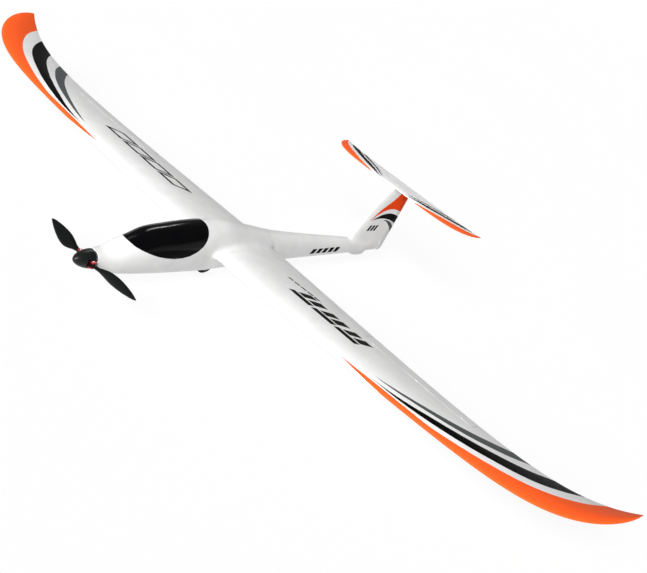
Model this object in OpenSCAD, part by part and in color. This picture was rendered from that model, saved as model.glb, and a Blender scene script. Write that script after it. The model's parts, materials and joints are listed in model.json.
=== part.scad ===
// Electric radio control glider: foam airframe with a T-tail, upswept wing tips,
// a folding two-blade propeller in the nose, a lift-up canopy and a half-sunk belly wheel.
// Built in a nose frame: Y runs aft from the spinner tip, X to port, Z up, with the
// thrust line at Z = 0. place() then sets the origin under the middle of the model.

/* [Airframe] */
// Wing span, tip to tip
span = 1800; // [1700:20:1900]
// Length from the spinner tip to the rudder's trailing edge
length = 990; // [980:1:1000]
// Height of the thrust line above the lowest point of the wheel
ground_z = 50; // [48:1:54]
// Foam wall thickness of the fuselage shells
foam_wall = 6; // [5:0.5:7]

/* [Wing] */
// Leading edge station at the root
wing_le = 306; // [300:1:312]
// Trailing edge station at the root
wing_te = 503; // [500:1:508]
// Station of the wing tip corner
wing_tip_y = 501; // [496:1:506]
// Height of the wing reference plane at the root
wing_z = 16; // [14:1:18]
// Rise of the wing from root to tip because of dihedral
wing_dihedral_rise = 20; // [14:1:26]
// Extra rise of the curved tip
wing_tip_rise = 48; // [40:1:54]
// Airfoil thickness as a part of the chord
wing_thickness = 0.11; // [0.1:0.005:0.12]
// Airfoil camber as a part of the chord
wing_camber = 0.025; // [0.02:0.005:0.03]
// Distance of the wing joint from the centre line
root_x = 46; // [44:1:48]

/* [Controls] */
// Inner end of an aileron
aileron_in = 330; // [320:5:340]
// Outer end of an aileron
aileron_out = 600; // [580:5:620]
// Gap round every moving control surface
surface_gap = 0.6; // [0.5:0.1:0.8]
// Radius of the wing servo arms and horns, hole to pivot
wing_arm = 13; // [12:0.5:14]
// Distance from a wing servo's shaft to the aileron's hinge
wing_rod = 55; // [52:1:58]
// Radius of the tail servo arms and horns, hole to pivot
tail_arm = 12; // [11:0.5:13]

/* [Tail] */
// Half span of the stabilizer
stab_half = 221; // [210:1:230]
// Leading edge station of the stabilizer
stab_le = 887; // [884:1:890]
// Trailing edge station of the stabilizer at its middle
stab_te = 962; // [960:1:965]
// Height of the stabilizer's reference plane
stab_z = 161; // [160:0.5:162]
// Station of the elevator's hinge line
elevator_y = 941; // [939:1:943]
// Station of the rudder's hinge line
rudder_y = 964; // [962:1:966]
// Thickness of the fin at its fattest
fin_t = 13; // [12:0.5:14]

/* [Propeller] */
// Radius of the spinner's base
spinner_r = 17.5; // [17:0.5:18]
// Length of the spinner
spinner_len = 38; // [36:1:39]
// Tip radius of the propeller
prop_r = 122; // [115:1:127]
// Distance of a blade's fold pin from the shaft
fold_x = 18.5; // [18:0.25:19]
// Station of the fold pins
fold_y = 28; // [27.5:0.25:28.5]
// Angle by which the parked blades trail behind the propeller disc
blade_trail = 8; // [0:1:10]

/* [Wheel] */
// Radius of the belly wheel
wheel_r = 22; // [20:0.5:23]
// Width of the belly wheel's tyre
wheel_w = 12; // [10:0.5:13]
// Station of the wheel's axle
wheel_y = 345; // [340:1:350]

/* [Hidden] */

$fn = 48;
half_span = span / 2;
white = [0.95, 0.95, 0.94];
black = [0.07, 0.07, 0.07];
grey = [0.33, 0.35, 0.35];
carbon = [0.12, 0.12, 0.13];
steel = [0.72, 0.73, 0.75];
nylon = [0.90, 0.90, 0.86];
servo_blue = [0.13, 0.25, 0.55];
anodised_red = [0.60, 0.05, 0.08];
join = 0.2;
pin_gap = 0.05;

// Fuselage stations: [station, half width, half height, height of the centre].
body_rows = [
    [40, 17.5, 17.5, 0], [60, 20.5, 20.5, 0], [88, 26, 30.5, 2], [120, 30.5, 38, 7],
    [150, 34, 45, 12.5], [200, 37, 49, 15.5], [250, 38, 52, 17.5], [300, 37, 53.5, 18],
    [350, 34.5, 52.5, 18], [420, 29.5, 45.5, 13.5], [500, 24.5, 37, 8], [600, 20.5, 30.5, 4],
    [700, 17.5, 25.5, 1], [800, 15, 21, -2], [880, 12.5, 16.5, -5], [962, 5.4, 13, -7]];
body_power = 2.2;
nose_y = 40;
tail_y = 961.5;

// The canopy's edge in side view: [station, height], nose to rear.
sill = [[98, 39], [108, 34], [122, 29.5], [140, 24.5], [160, 19.5], [180, 16.5], [200, 15],
    [220, 16], [238, 20], [254, 28], [265, 37], [273, 47], [278, 58], [281.5, 72]];
canopy_wall = 2.4;
canopy_gap = 0.35;
magnet_z = 62;

// Fin outline: [height, leading edge station].
fin_rows = [[-8, 800], [8, 812], [23, 822], [38, 831], [60, 839], [85, 848], [110, 860],
    [135, 875], [156.5, 889]];
fin_top = 156.5;
fin_end_t = 9.6;

// ---------- curves ----------

function row_of(rows, y, i = 0) =
    (i >= len(rows) - 2 || y < rows[i + 1][0]) ? i : row_of(rows, y, i + 1);

function row_slope(rows, k, i) =
    let (a = max(i - 1, 0), b = min(i + 1, len(rows) - 1))
    (rows[b][k] - rows[a][k]) / (rows[b][0] - rows[a][0]);

// Value k at y on a smooth curve through the rows (cubic Hermite).
function smooth(rows, k, y) =
    let (
        i = row_of(rows, y),
        h = rows[i + 1][0] - rows[i][0],
        t = min(max((y - rows[i][0]) / h, 0), 1),
        t2 = t * t,
        t3 = t2 * t
    )
    rows[i][k] * (2 * t3 - 3 * t2 + 1) + rows[i + 1][k] * (3 * t2 - 2 * t3)
        + h * row_slope(rows, k, i) * (t3 - 2 * t2 + t)
        + h * row_slope(rows, k, i + 1) * (t3 - t2);

function signed_pow(v, p) = v < 0 ? -pow(-v, p) : pow(v, p);

// A point of the fuselage's section at station y, inset by wall, at angle a.
function body_point(y, a, wall = 0) = [
    (smooth(body_rows, 1, y) - wall) * signed_pow(cos(a), 2 / body_power),
    y,
    smooth(body_rows, 3, y) + (smooth(body_rows, 2, y) - wall) * signed_pow(sin(a), 2 / body_power)];

// ---------- lofting ----------

function total(v, i = 0) = i >= len(v) ? [0, 0, 0] : v[i] + total(v, i + 1);

// Twice a ring's area as a vector, by the right-hand rule.
function area_of(r) = total([for (i = [0:len(r) - 1]) cross(r[i], r[(i + 1) % len(r)])]);

// Faces that close ring number j; a wall's ring runs out along one side and back along the other.
function caps(n, j, wall) = wall
    ? [for (i = [0:n / 2 - 2]) [j * n + i, j * n + i + 1, j * n + n - 2 - i, j * n + n - 1 - i]]
    : [[for (i = [0:n - 1]) j * n + i]];

function reversed(f) = [for (i = [len(f) - 1:-1:0]) f[i]];

// A closed solid through rings with the same number of points, whichever way they turn.
module loft(rings, wall = false) {
    n = len(rings[0]);
    last = len(rings) - 1;
    onward = total(rings[last]) - total(rings[0]);
    flip = area_of(rings[floor(last / 2)]) * onward > 0;
    points = [for (r = rings) for (p = r) p];
    sides = [for (j = [0:last - 1]) for (i = [0:n - 1])
        let (a = j * n + i, b = j * n + (i + 1) % n) [a, b, b + n, a + n]];
    first = [for (f = caps(n, 0, wall)) reversed(f)];
    faces = concat(sides, first, caps(n, last, wall));
    turned = [for (f = faces) reversed(f)];
    polyhedron(points = points, faces = flip ? turned : faces, convexity = 8);
}

function steps(a, b, count) = [for (i = [0:count]) a + (b - a) * i / count];

// ---------- fuselage ----------

arc_steps = 11;
body_stations = concat(steps(nose_y, 300, 15), steps(325, 500, 5), steps(540, 800, 5),
    steps(830, 930, 4), [tail_y]);
shell_end = 830;

// Port half of the hollow shell: outer arc up, inner arc down.
function half_ring(y, wall) = concat(
    [for (i = [0:arc_steps]) body_point(y, -90 + 180 * i / arc_steps)],
    [for (i = [arc_steps:-1:0]) body_point(y, -90 + 180 * i / arc_steps, wall)]);

function full_ring(y, wall, count) = [for (i = [0:count - 1]) body_point(y, 360 * i / count, wall)];

function shell_wall(y) = y < 80 ? foam_wall - 2 : foam_wall - max(0, min(1, (y - 400) / 300));

module hollow_half() {
    near = [for (y = body_stations) if (y <= shell_end) y];
    loft([for (y = near) half_ring(y, shell_wall(y))], wall = true);
}

module solid_half(y0, y1, count) {
    loft([for (y = steps(y0, y1, count))
        [for (i = [0:arc_steps]) body_point(y, -90 + 180 * i / arc_steps)]]);
}

function fin_half_t(z, u) =
    let (full = fin_t / 2 - 1.2 * z / fin_top, end = fin_end_t / 2 - 0.5 * z / fin_top)
    u < 0.35 ? full * sqrt(1 - pow(1 - u / 0.35, 2)) : full + (end - full) * pow((u - 0.35) / 0.65, 1.5);

function fin_ring(z) =
    let (le = smooth(fin_rows, 1, z), chord = tail_y - le, us = [0, 0.02, 0.07, 0.16, 0.35, 0.6, 0.8, 1])
    concat([for (u = us) [fin_half_t(z, u), le + chord * u, z]], [[0, tail_y, z]]);

module fin_half() {
    loft([for (z = [for (r = fin_rows) r[0]]) fin_ring(z)]);
}

// Wing root fairing: the airfoil swells as it runs into the fuselage.
module root_fairing() {
    loft([for (s = [[14, 2.3], [22, 1.8], [29, 1.42], [37, 1.14], [root_x, 1]])
        wing_ring(s[0], s[1])]);
}

module canopy_prism(x0, x1) {
    translate([x0, 0, 0]) rotate([90, 0, 90])
        linear_extrude(height = x1 - x0) polygon(concat(sill, [[281.5, 120], [98, 120]]));
}

module bulkhead(y, t, z0, z1) {
    intersection() {
        solid_half(y - 0.01, y + t + 0.01, 1);
        translate([0, y, z0]) cube([60, t, z1 - z0]);
    }
}

module motor_cavity() {
    translate([0, nose_y - 1, 0]) rotate([-90, 0, 0]) cylinder(h = 6.2, r = 15.7);
    translate([0, 45, 0]) rotate([-90, 0, 0]) cylinder(h = 38, r = 15.2);
}

servo_l = 22.5;
servo_w = 12;
servo_h = 22.7;
tail_servo_l = 20;
tail_servo_w = 8.6;
tail_servo_h = 18;
elevator_shaft = [0, 885, -5];
rudder_shaft = [0, 930, 5];

module tail_pockets() {
    gap = join;
    // elevator servo: its shaft points to starboard
    translate([-tail_servo_h / 2 - 8, elevator_shaft[1] - tail_servo_l * 0.74 - gap,
        elevator_shaft[2] - tail_servo_w / 2 - gap])
        cube([tail_servo_h + 8 + gap, tail_servo_l + 2 * gap, tail_servo_w + 2 * gap]);
    // rudder servo: its shaft points up
    translate([-tail_servo_w / 2 - gap, rudder_shaft[1] - tail_servo_l * 0.74 - gap,
        rudder_shaft[2] - 4 - tail_servo_h - gap])
        cube([tail_servo_w + 2 * gap, tail_servo_l + 2 * gap, tail_servo_h + 4 + 2.6 + gap]);
    // slots in the starboard wall for the rudder servo's arm and the rudder's horn
    translate([-20, rudder_shaft[1] - 9, rudder_shaft[2] - 0.8]) cube([20, 18, 3.4]);
    translate([-20, rudder_y - 7, rudder_shaft[2] - 0.6]) cube([19, 6, 2.8]);
}

// The fin's top slopes down under the elevator, to clear its travel.
module elevator_clearance() {
    y0 = elevator_y + 3;
    y1 = tail_y + 1;
    translate([-20, 0, 0]) rotate([90, 0, 90]) linear_extrude(height = 40)
        polygon([[y0, fin_top], [y1, fin_top - 4], [y1, fin_top + 4], [y0, fin_top + 4]]);
}

module screw_holes() {
    for (y = [902, 926]) translate([0, y, 136]) cylinder(h = 40, r = 1.55, $fn = 32);
}

module fuselage_half() {
    difference() {
        union() {
            hollow_half();
            solid_half(shell_end, tail_y, 7);
            fin_half();
            root_fairing();
            bulkhead(98, 6, -40, -16.2);
            bulkhead(134, 6, -40, -17.2);
            bulkhead(256, 6, -45, -17.2);
            bulkhead(282.5, 7, 38, 80);
            bulkhead(310, 6, -45, -1);
            bulkhead(374, 6, -45, -1);
            bulkhead(396, 8, -45, 8);
        }
        canopy_prism(-1, 60);
        motor_cavity();
        // wing joiner and wing screws
        translate([-1, joiner_y, joiner_z]) rotate([0, 90, 0]) cylinder(h = 60, r = 5.1);
        translate([-1, screw_y, screw_z]) rotate([0, 90, 0]) {
            cylinder(h = 60, r = 1.6);
            cylinder(h = screw_seat + 1, r = 3.2);
        }
        // channel for the boom's stiffener
        translate([0, 396, -4]) rotate([-90, 0, 0]) cylinder(h = 444, r = 4.1);
        // wheel box, magnet, tail servos and the stabilizer's screws
        translate([-1, wheel_y - 28 - join, -60]) cube([11 + join, 56 + 2 * join, 59.2]);
        translate([0, 279, magnet_z]) rotate([-90, 0, 0]) cylinder(h = 7, r = 4.1);
        tail_pockets();
        elevator_clearance();
        screw_holes();
        // round seat for the rudder's nose
        translate([0, rudder_y, -60]) cylinder(h = 260, r = fin_end_t / 2 + surface_gap);
        translate([-20, rudder_y - 0.1, -60]) cube([40, 60, 260]);
        rudder_hinge_slots();
        // bed for the tail skid
        translate([-1, skid_y0 - join, -60]) cube([skid_w / 2 + 1 + join, skid_y1 - skid_y0 + 2 * join,
            60 + skid_z1]);
    }
}

module fuselage_port() {
    color(white) fuselage_half();
}

module fuselage_starboard() {
    color(white) difference() {
        mirror([1, 0, 0]) fuselage_half();
        tail_pockets();
    }
}

// ---------- wing ----------

function wing_chord_le(x) =
    let (s = min(x / half_span, 1), plain = wing_le + 18 * s + 25 * pow(s, 4))
    plain + (wing_tip_y - wing_le - 43) * (1 - sqrt(max(0, 1 - pow(s, 12))));

function wing_chord_te(x) =
    let (s = min(x / half_span, 1))
    wing_te - 60 * s - 64 * s * s + 101 * pow(s, 3) + (wing_tip_y - wing_te + 23) * pow(s, 10);

function wing_height(x) =
    let (s = x / half_span) wing_z + wing_dihedral_rise * s + wing_tip_rise * pow(s, 10.5);

function airfoil_t(u) =
    5 * (0.2969 * sqrt(u) - 0.126 * u - 0.3516 * u * u + 0.2843 * pow(u, 3) - 0.1015 * pow(u, 4));

function camber(u) = u < 0.4
    ? wing_camber / 0.16 * (0.8 * u - u * u)
    : wing_camber / 0.36 * (0.2 + 0.8 * u - u * u);

foil_steps = 11;
// Closed airfoil at span station x; swell thickens its upper side.
function wing_ring(x, swell = 1) =
    let (
        le = wing_chord_le(x),
        chord = max(wing_chord_te(x) - le, 3),
        z = wing_height(x),
        t = wing_thickness - 0.02 * x / half_span,
        edge = 0.4
    )
    concat(
        [for (i = [foil_steps:-1:1]) let (u = (1 - cos(180 * i / foil_steps)) / 2)
            [x, le + chord * u, z + chord * (camber(u) + swell * t * airfoil_t(u)) + edge * u]],
        [for (i = [0:foil_steps]) let (u = (1 - cos(180 * i / foil_steps)) / 2)
            [x, le + chord * u, z + chord * (camber(u) - t * airfoil_t(u)) - edge * u]]);

tip_start = 640;
rib_t = 2;
wing_stations = concat(steps(root_x + rib_t, tip_start, 9),
    [for (a = [7:8:79]) tip_start + (half_span - tip_start) * sin(a)],
    [half_span - 1.2, half_span]);

module wing_loft() {
    loft([for (x = wing_stations) wing_ring(x)]);
}

// Aileron hinge: a straight line between its two ends.
hinge_part = 0.76;
function hinge_point(x) =
    let (le = wing_chord_le(x), chord = wing_chord_te(x) - le)
    [x, le + hinge_part * chord, wing_height(x) + chord * camber(hinge_part)];
hinge_a = hinge_point(aileron_in);
hinge_b = hinge_point(aileron_out);
hinge_dir = hinge_b - hinge_a;
hinge_len = norm(hinge_dir);
hinge_turn = atan2(hinge_dir[1], hinge_dir[0]);
hinge_rise = asin(hinge_dir[2] / hinge_len);
hinge_mid = (hinge_a + hinge_b) / 2;
function hinge_r(x) =
    (wing_chord_te(x) - wing_chord_le(x)) * (wing_thickness - 0.02 * x / half_span) * airfoil_t(hinge_part);

// Local frame of the port aileron: X along its hinge line, Z up.
module at_hinge() {
    translate(hinge_mid) rotate([0, -hinge_rise, hinge_turn]) children();
}

// Plan view of the aileron, grown forward by ahead and sideways by side.
module aileron_prism(ahead, side) {
    a = hinge_a[1] - ahead;
    b = hinge_b[1] - ahead;
    translate([0, 0, -20]) linear_extrude(height = 140)
        polygon([[aileron_in - side, a], [aileron_out + side, b], [aileron_out + side, 560],
            [aileron_in - side, 560]]);
}

hinge_spots = [-110, 0, 110];
joiner_y = 372;
joiner_z = 23;
screw_y = 450;
screw_z = 21;
screw_seat = 22;

module wing_half() {
    difference() {
        wing_loft();
        aileron_prism(hinge_r(aileron_in) + surface_gap, surface_gap);
        translate([root_x, joiner_y, joiner_z]) rotate([0, 90, 0]) cylinder(h = 202, r = 5.1);
        translate([root_x, screw_y, screw_z]) rotate([0, 90, 0]) cylinder(h = 14, r = 1.6);
        at_hinge() {
            // servo pocket and arm slot, open below
            translate([-27.2, -wing_rod - 16.9, -14]) cube([23.4, servo_l + 0.5, 20.2]);
            translate([-12.2, -wing_rod - 21.7, -14]) cube([4, 32.4, 20.2]);
            translate([-4, -wing_rod - 6.2, -14]) cube([8.5, 12.4, 20.2]);
            for (s = hinge_spots) translate([s - 3.1, -18.2, -0.6]) cube([6.2, 16, 1.2]);
        }
    }
}

module wing_port() {
    color(white) wing_half();
}

module wing_starboard() {
    color(white) mirror([1, 0, 0]) wing_half();
}

module wing_joiner() {
    color(carbon) translate([-245, joiner_y, joiner_z]) rotate([0, 90, 0]) difference() {
        cylinder(h = 490, r = 5);
        translate([0, 0, -1]) cylinder(h = 492, r = 4);
    }
}

module root_rib() {
    difference() {
        loft([wing_ring(root_x), wing_ring(root_x + rib_t)]);
        translate([root_x - 1, joiner_y, joiner_z]) rotate([0, 90, 0]) cylinder(h = 5, r = 5.1);
        translate([root_x - 1, screw_y, screw_z]) rotate([0, 90, 0]) cylinder(h = 5, r = 1.5);
    }
}

module root_ribs() {
    color(nylon) {
        root_rib();
        mirror([1, 0, 0]) root_rib();
    }
}

module wing_screw() {
    translate([screw_seat, screw_y, screw_z]) rotate([0, 90, 0]) {
        cylinder(h = 34, r = 1.5, $fn = 32);
        translate([0, 0, -2]) cylinder(h = 2, r = 2.8, $fn = 32);
    }
}

module wing_screws() {
    color(steel) {
        wing_screw();
        mirror([1, 0, 0]) wing_screw();
    }
}

// ---------- hinges, horns, servos and rods, each in its joint's own frame ----------

// Nylon hinges on the X axis: a leaf runs forward and a pin sticks out on both sides.
module hinge_row(spots, leaf, barrel_r, pin_r) {
    for (s = spots) translate([s, 0, 0]) {
        translate([-2.5, 0, 0]) rotate([0, 90, 0]) cylinder(h = 5, r = barrel_r, $fn = 24);
        translate([-6.5, 0, 0]) rotate([0, 90, 0]) cylinder(h = 13, r = pin_r, $fn = 24);
        translate([-2.5, -leaf, -0.4]) cube([5, leaf, 0.8]);
    }
}

// The room that a moving surface leaves round each hinge, and the holes for its pins.
module hinge_room(spots, barrel_r, pin_r, nose_r) {
    for (s = spots) translate([s, 0, 0]) {
        translate([-3.1, -nose_r - 1, -nose_r - 1])
            cube([6.2, nose_r + 1 + barrel_r + 0.4, 2 * nose_r + 2]);
        translate([-7, 0, 0]) rotate([0, 90, 0]) cylinder(h = 14, r = pin_r + pin_gap, $fn = 24);
    }
}

// Control horn in the YZ plane: foot along Y at z = foot_z, hole at (hole_y, hole_z).
module horn(hole_y, hole_z, foot, foot_z, t = 1.6) {
    difference() {
        union() {
            rotate([90, 0, 90]) linear_extrude(height = t)
                polygon([[foot[0], foot_z], [foot[1], foot_z], [hole_y + 2, hole_z], [hole_y - 2, hole_z]]);
            translate([0, hole_y, hole_z]) rotate([0, 90, 0]) cylinder(h = t, r = 2.6, $fn = 32);
        }
        translate([-1, hole_y, hole_z]) rotate([0, 90, 0]) cylinder(h = t + 2, r = 1.15, $fn = 24);
    }
}

// Servo with its shaft on the X axis; the case lies at x below -4 and runs forward.
module servo(l, w, h, ear) {
    translate([-4 - h, -l * 0.74, -w / 2]) cube([h, l, w]);
    if (ear > 0) translate([-11.4, -l * 0.74 - ear, -w / 2]) cube([2.4, l + 2 * ear, w]);
    translate([-4, 0, 0]) rotate([0, 90, 0]) cylinder(h = 2.2, r = w / 2 - 0.3);
    translate([-1.8, 0, 0]) rotate([0, 90, 0]) cylinder(h = 1.8, r = 2.2, $fn = 32);
}

// Servo arm in the plane of X from 0 to t, reaching to (reach_y, reach_z).
module servo_arm(reach_y, reach_z, t = 1.6) {
    along = atan2(reach_z, reach_y);
    reach = norm([reach_y, reach_z]);
    rotate([90, 0, 90]) linear_extrude(height = t) difference() {
        union() {
            circle(r = 3.4, $fn = 32);
            rotate(along) polygon([[0, -2.9], [reach, -1.7], [reach, 1.7], [0, 2.9]]);
            rotate(along) translate([reach, 0]) circle(r = 2, $fn = 32);
        }
        translate([reach_y, reach_z]) circle(r = 0.9, $fn = 24);
    }
}

// Wire pushrod in the plane x = off; at each end a pin runs through the wire and back to pin_to.
module push_rod(a, b, off, pin_to, r = 0.8) {
    run = b - a;
    rotate([90, 0, 90]) translate([a[0], a[1], off]) rotate([0, 90, atan2(run[1], run[0])])
        translate([0, 0, -1.6]) cylinder(h = norm(run) + 3.2, r = r, $fn = 24);
    for (p = [a, b]) translate([pin_to, p[0], p[1]]) rotate([0, 90, 0])
        cylinder(h = off + 1.1 - pin_to, r = r - 0.06, $fn = 24);
}

// ---------- ailerons ----------

module aileron_half() {
    nose_in = hinge_r(aileron_in) - 0.1;
    nose_out = hinge_r(aileron_out) - 0.1;
    difference() {
        union() {
            intersection() {
                wing_loft();
                aileron_prism(0, -surface_gap);
            }
            at_hinge() translate([-hinge_len / 2 + surface_gap, 0, 0]) rotate([0, 90, 0])
                cylinder(h = hinge_len - 2 * surface_gap, r1 = nose_in, r2 = nose_out);
        }
        at_hinge() {
            hinge_room(hinge_spots, 1.5, 0.75, 5);
            translate([-0.1, -2.6, -12]) cube([1.8, 13.6, 10]);
        }
    }
}

module aileron_port() {
    color(white) aileron_half();
}

module aileron_starboard() {
    color(white) mirror([1, 0, 0]) aileron_half();
}

module aileron_horn_half() {
    at_hinge() horn(0, -wing_arm, [-2.4, 10.8], -2.1);
}

module aileron_horn_port() {
    color(black) aileron_horn_half();
}

module aileron_horn_starboard() {
    color(black) mirror([1, 0, 0]) aileron_horn_half();
}

module aileron_hinges_half() {
    at_hinge() hinge_row(hinge_spots, 18, 1.5, 0.75);
}

module aileron_hinges_port() {
    color(nylon) aileron_hinges_half();
}

module aileron_hinges_starboard() {
    color(nylon) mirror([1, 0, 0]) aileron_hinges_half();
}

module aileron_servo_half() {
    at_hinge() translate([0, -wing_rod, 0]) servo(servo_l, servo_w, servo_h, 4.6);
}

module aileron_servo_port() {
    color(servo_blue) aileron_servo_half();
}

module aileron_servo_starboard() {
    color(servo_blue) mirror([1, 0, 0]) aileron_servo_half();
}

module aileron_arm_half() {
    at_hinge() translate([0, -wing_rod, 0]) servo_arm(0, -wing_arm);
}

module aileron_arm_port() {
    color(nylon) aileron_arm_half();
}

module aileron_arm_starboard() {
    color(nylon) mirror([1, 0, 0]) aileron_arm_half();
}

module aileron_rod_half() {
    at_hinge() push_rod([-wing_rod, -wing_arm], [0, -wing_arm], 3.4, -0.8);
}

module aileron_rod_port() {
    color(steel) aileron_rod_half();
}

module aileron_rod_starboard() {
    color(steel) mirror([1, 0, 0]) aileron_rod_half();
}

// ---------- stabilizer and elevator ----------

stab_thickness = 0.09;
elevator_half = 188;
elevator_r = 2.2;

function stab_chord_le(x) =
    let (s = min(x / stab_half, 1)) stab_le + (stab_te + 16 - stab_le) * (1 - sqrt(max(0, 1 - pow(s, 5))));

function stab_chord_te(x) = stab_te + 16 * pow(x / stab_half, 4);

function stab_ring(x) =
    let (le = stab_chord_le(abs(x)), chord = max(stab_chord_te(abs(x)) - le, 2.5), edge = 0.35)
    concat(
        [for (i = [8:-1:1]) let (u = (1 - cos(180 * i / 8)) / 2)
            [x, le + chord * u, stab_z + chord * stab_thickness * airfoil_t(u) + edge * u]],
        [for (i = [0:8]) let (u = (1 - cos(180 * i / 8)) / 2)
            [x, le + chord * u, stab_z - chord * stab_thickness * airfoil_t(u) - edge * u]]);

stab_side = concat([0, 60, 110], [for (a = [10:10:80]) 120 + (stab_half - 120) * sin(a)],
    [stab_half - 0.4, stab_half]);
stab_stations = concat([for (i = [len(stab_side) - 1:-1:1]) -stab_side[i]], stab_side);

module stab_loft() {
    loft([for (x = stab_stations) stab_ring(x)]);
}

elevator_spots = [-150, -50, 50, 150];

module stabilizer() {
    color(white) difference() {
        union() {
            stab_loft();
            translate([-7, 893, fin_top]) cube([14, 40, 3.2]);
        }
        translate([-elevator_half - surface_gap, elevator_y - elevator_r - surface_gap, 100])
            cube([2 * (elevator_half + surface_gap), 100, 100]);
        for (y = [902, 926]) translate([0, y, 100]) {
            cylinder(h = 100, r = 1.6, $fn = 32);
            translate([0, 0, stab_z + 1 - 100]) cylinder(h = 20, r = 3.1, $fn = 32);
        }
        for (s = elevator_spots) translate([s - 2.6, elevator_y - 14.2, stab_z - 0.5])
            cube([5.2, 12.5, 1]);
    }
}

module stabilizer_screws() {
    color(nylon) for (y = [902, 926]) translate([0, y, stab_z + 1]) {
        cylinder(h = 1.7, r = 2.9, $fn = 32);
        translate([0, 0, -24]) cylinder(h = 24, r = 1.5, $fn = 32);
    }
}

module elevator() {
    color(white) difference() {
        union() {
            intersection() {
                stab_loft();
                translate([-elevator_half, elevator_y, 100]) cube([2 * elevator_half, 100, 100]);
            }
            translate([-elevator_half, elevator_y, stab_z]) rotate([0, 90, 0])
                cylinder(h = 2 * elevator_half, r = elevator_r - 0.1);
        }
        translate([0, elevator_y, stab_z]) {
            hinge_room(elevator_spots, 1.2, 0.6, 3);
            translate([elevator_plane - 1.7, 1.8, -12]) cube([1.8, 13.4, 11.2]);
        }
    }
}

elevator_plane = -13;
// Direction from the elevator servo's shaft to the elevator's hinge, in the YZ plane.
lift_v = [elevator_y - elevator_shaft[1], stab_z - elevator_shaft[2]];
lift_n = [lift_v[1], -lift_v[0]] / norm(lift_v) * tail_arm;

module elevator_horn() {
    color(black) translate([elevator_plane, elevator_y, stab_z]) mirror([1, 0, 0])
        horn(lift_n[0], lift_n[1], [2.1, 14.9], -0.9);
}

module elevator_hinges() {
    color(nylon) translate([0, elevator_y, stab_z]) hinge_row(elevator_spots, 14, 1.2, 0.6);
}

module elevator_servo() {
    color(servo_blue) translate([elevator_plane, elevator_shaft[1], elevator_shaft[2]])
        mirror([1, 0, 0]) servo(tail_servo_l, tail_servo_w, tail_servo_h, 0);
}

module elevator_arm() {
    color(nylon) translate([elevator_plane, elevator_shaft[1], elevator_shaft[2]])
        mirror([1, 0, 0]) servo_arm(lift_n[0], lift_n[1]);
}

module elevator_rod() {
    color(steel) translate([elevator_plane, elevator_shaft[1], elevator_shaft[2]])
        mirror([1, 0, 0]) push_rod(lift_n, lift_n + lift_v, 3.4, -0.8);
}

// ---------- rudder ----------

rudder_z0 = -20;
rudder_z1 = 151.5;
rudder_spots = [-10, 60, 130];

// Rudder linkage frame: X of the linkage modules points up, Y aft and Z to starboard.
module at_rudder(y, z) {
    translate([0, y, z]) rotate([0, -90, 0]) children();
}

module rudder_hinge_slots() {
    for (s = rudder_spots) translate([-0.6, rudder_y - 18.2, s - 3.1]) cube([1.2, 16, 6.2]);
}

module rudder() {
    end_r = fin_end_t / 2;
    color(white) difference() {
        union() {
            translate([0, rudder_y, rudder_z0]) cylinder(h = rudder_z1 - rudder_z0, r = end_r - 0.1);
            intersection() {
                translate([0, 0, rudder_z0]) linear_extrude(height = rudder_z1 - rudder_z0)
                    polygon([[-end_r + 0.1, rudder_y], [-0.8, length], [0.8, length],
                        [end_r - 0.1, rudder_y]]);
                // rounded lower corner in side view
                translate([-20, 0, 0]) rotate([90, 0, 90]) linear_extrude(height = 40) union() {
                    polygon([[rudder_y - 20, rudder_z0], [length - 12, rudder_z0],
                        [length - 12, rudder_z0 + 12], [length, rudder_z0 + 12],
                        [length, rudder_z1], [rudder_y - 20, rudder_z1]]);
                    translate([length - 12, rudder_z0 + 12]) circle(r = 12, $fn = 48);
                }
            }
        }
        at_rudder(rudder_y, 0) hinge_room(rudder_spots, 1.5, 0.75, 5.2);
        translate([-8, rudder_y - 3.6, rudder_shaft[2] - 0.1]) cube([7, 12.2, 1.8]);
    }
}

module rudder_horn() {
    color(black) at_rudder(rudder_y, rudder_shaft[2]) horn(0, tail_arm, [-2.2, 8.5], 1.1);
}

module rudder_hinges() {
    color(nylon) at_rudder(rudder_y, 0) hinge_row(rudder_spots, 18, 1.5, 0.75);
}

module rudder_servo() {
    color(servo_blue) at_rudder(rudder_shaft[1], rudder_shaft[2])
        servo(tail_servo_l, tail_servo_w, tail_servo_h, 0);
}

module rudder_arm() {
    color(nylon) at_rudder(rudder_shaft[1], rudder_shaft[2]) servo_arm(0, tail_arm);
}

module rudder_rod() {
    color(steel) at_rudder(rudder_shaft[1], rudder_shaft[2])
        push_rod([0, tail_arm], [rudder_y - rudder_shaft[1], tail_arm], 3.4, -0.8);
}

// ---------- tail skid ----------

skid_y0 = 852;
skid_y1 = 920;
skid_w = 8;
skid_z0 = -33;
skid_z1 = -19;

module tail_skid() {
    color(white) translate([-skid_w / 2, 0, 0]) rotate([90, 0, 90]) linear_extrude(height = skid_w)
        polygon([[skid_y0, skid_z1], [skid_y0, -26], [868, -30.5], [882, skid_z0], [908, skid_z0],
            [914, -30], [skid_y1, -22], [skid_y1, skid_z1]]);
}

module boom_stiffener() {
    color(carbon) translate([0, 397, -4]) rotate([-90, 0, 0]) difference() {
        cylinder(h = 442, r = 4);
        translate([0, 0, -1]) cylinder(h = 444, r = 3);
    }
}

// ---------- motor, propeller and spinner ----------

shaft_r = 2;

module on_thrust(y) {
    translate([0, y, 0]) rotate([-90, 0, 0]) children();
}

module motor_mount() {
    color(grey) on_thrust(41.5) difference() {
        cylinder(h = 3.5, r = 15.5);
        translate([0, 0, -1]) cylinder(h = 6, r = 4.5);
        for (a = [0:90:270]) rotate(a + 45) translate([8, 0, -1]) cylinder(h = 6, r = 1.6, $fn = 24);
    }
}

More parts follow.
